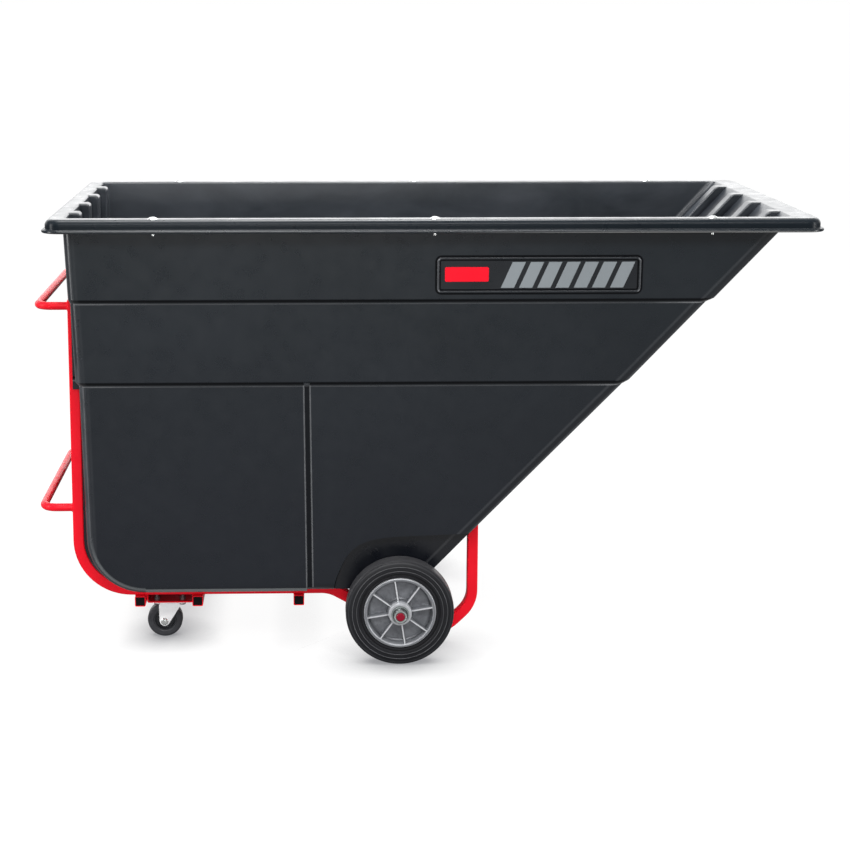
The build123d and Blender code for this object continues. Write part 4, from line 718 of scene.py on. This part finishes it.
me = bpy.data.meshes.new("floor")
S = 400.0
me.from_pydata([(-S, -S, 0), (S, -S, 0), (S, S, 0), (-S, S, 0)], [], [(0, 1, 2, 3)])
floor = bpy.data.objects.new("floor", me)
floor.location.z = box0[0].z - 0.0002
scene.collection.objects.link(floor)
me.materials.append(floor_material())

# studio: pale all round as the eye sees it, dimmer at the horizon than overhead as light
world = bpy.data.worlds.new("studio")
scene.world = world
world.use_nodes = True
wt = world.node_tree
bg = wt.nodes["Background"]
geo = wt.nodes.new("ShaderNodeTexCoord")
sep = wt.nodes.new("ShaderNodeSeparateXYZ")
wt.links.new(geo.outputs["Generated"], sep.inputs[0])
ramp = wt.nodes.new("ShaderNodeValToRGB")
e = ramp.color_ramp.elements
e[0].position, e[0].color = 0.0, (0.16, 0.163, 0.175, 1)
e[1].position, e[1].color = 1.0, (0.95, 0.95, 0.96, 1)
mid = e.new(0.35)
mid.color = (0.22, 0.224, 0.236, 1)
wt.links.new(sep.outputs[2], ramp.inputs[0])
# a tall lit sheet behind the object and two dimmer ones beside it
behind = product(wt, span(wt, sep.outputs[1], 0.30, 0.80, 0.0, 1.0), span(wt, sep.outputs[2], 0.62, 0.26, 0.0, 1.0), 2.7)
beside = product(wt, span(wt, math_node(wt, "ABSOLUTE", sep.outputs[0], 0.0), 0.70, 0.92, 0.0, 1.0),
                 span(wt, sep.outputs[2], 0.65, 0.35, 0.0, 1.0), 0.75)
lit = wt.nodes.new("ShaderNodeCombineXYZ")
sheet = total(wt, behind, beside)
for k in range(3):
    wt.links.new(sheet, lit.inputs[k])
room = mix_col(wt, 1.0, ramp.outputs[0], lit.outputs[0], "ADD")
path = wt.nodes.new("ShaderNodeLightPath")
pick = wt.nodes.new("ShaderNodeMix")
pick.data_type = "RGBA"
wt.links.new(path.outputs["Is Camera Ray"], pick.inputs[0])
wt.links.new(room, pick.inputs[6])
pick.inputs[7].default_value = (1, 1, 1, 1)
wt.links.new(pick.outputs[2], bg.inputs["Color"])
bg.inputs["Strength"].default_value = 1.0


def area(name, loc, target, size, power, color=(1, 1, 1)):
    d = bpy.data.lights.new(name, "AREA")
    d.shape = "RECTANGLE"
    d.size, d.size_y = size
    d.energy = power
    d.color = color
    o = bpy.data.objects.new(name, d)
    o.location = loc
    o.rotation_mode = "QUATERNION"
    o.rotation_quaternion = (Vector(target) - Vector(loc)).to_track_quat("-Z", "Y")
    scene.collection.objects.link(o)
    return o


area("key_top", (-0.2, 0.2, 3.4), (0, 0, 0.6), (3.0, 1.4), 130)
area("strip_left", (-3.2, -1.3, 1.3), (-0.4, 0, 0.6), (0.6, 2.4), 44)
area("strip_right", (3.4, -1.7, 1.2), (0.4, 0, 0.6), (0.6, 2.4), 44)
area("front_high", (0.0, -3.5, 3.3), (0, 0, 0.55), (3.4, 0.9), 97)
low = area("front_low", (-0.5, -3.9, 1.22), (-0.52, -0.1, 0.0), (1.8, 0.25), 3.6)
low.data.spread = math.radians(46)

cam_d = bpy.data.cameras.new("camera")
cam_d.sensor_width = 36.0
cam_d.lens = 1705.9 / 850.0 * 36.0
cam_d.shift_x = 0.075
cam_d.shift_y = -0.172
cam = bpy.data.objects.new("camera", cam_d)
scene.collection.objects.link(cam)
yaw, pitch, roll = math.radians(1.734), math.radians(9.371), math.radians(0.091)
fwd = Vector((math.sin(yaw) * math.cos(pitch), math.cos(yaw) * math.cos(pitch), -math.sin(pitch)))
rgt = Vector((math.cos(yaw), -math.sin(yaw), 0.0))
upv = rgt.cross(fwd)
rgt, upv = rgt * math.cos(roll) + upv * math.sin(roll), upv * math.cos(roll) - rgt * math.sin(roll)
cam.matrix_world = Matrix(((rgt.x, upv.x, -fwd.x, -0.260), (rgt.y, upv.y, -fwd.y, -4.1965),
                           (rgt.z, upv.z, -fwd.z, 1.5464), (0, 0, 0, 1)))
scene.camera = cam
scene.view_settings.view_transform = "Standard"
scene.view_settings.look = "None"
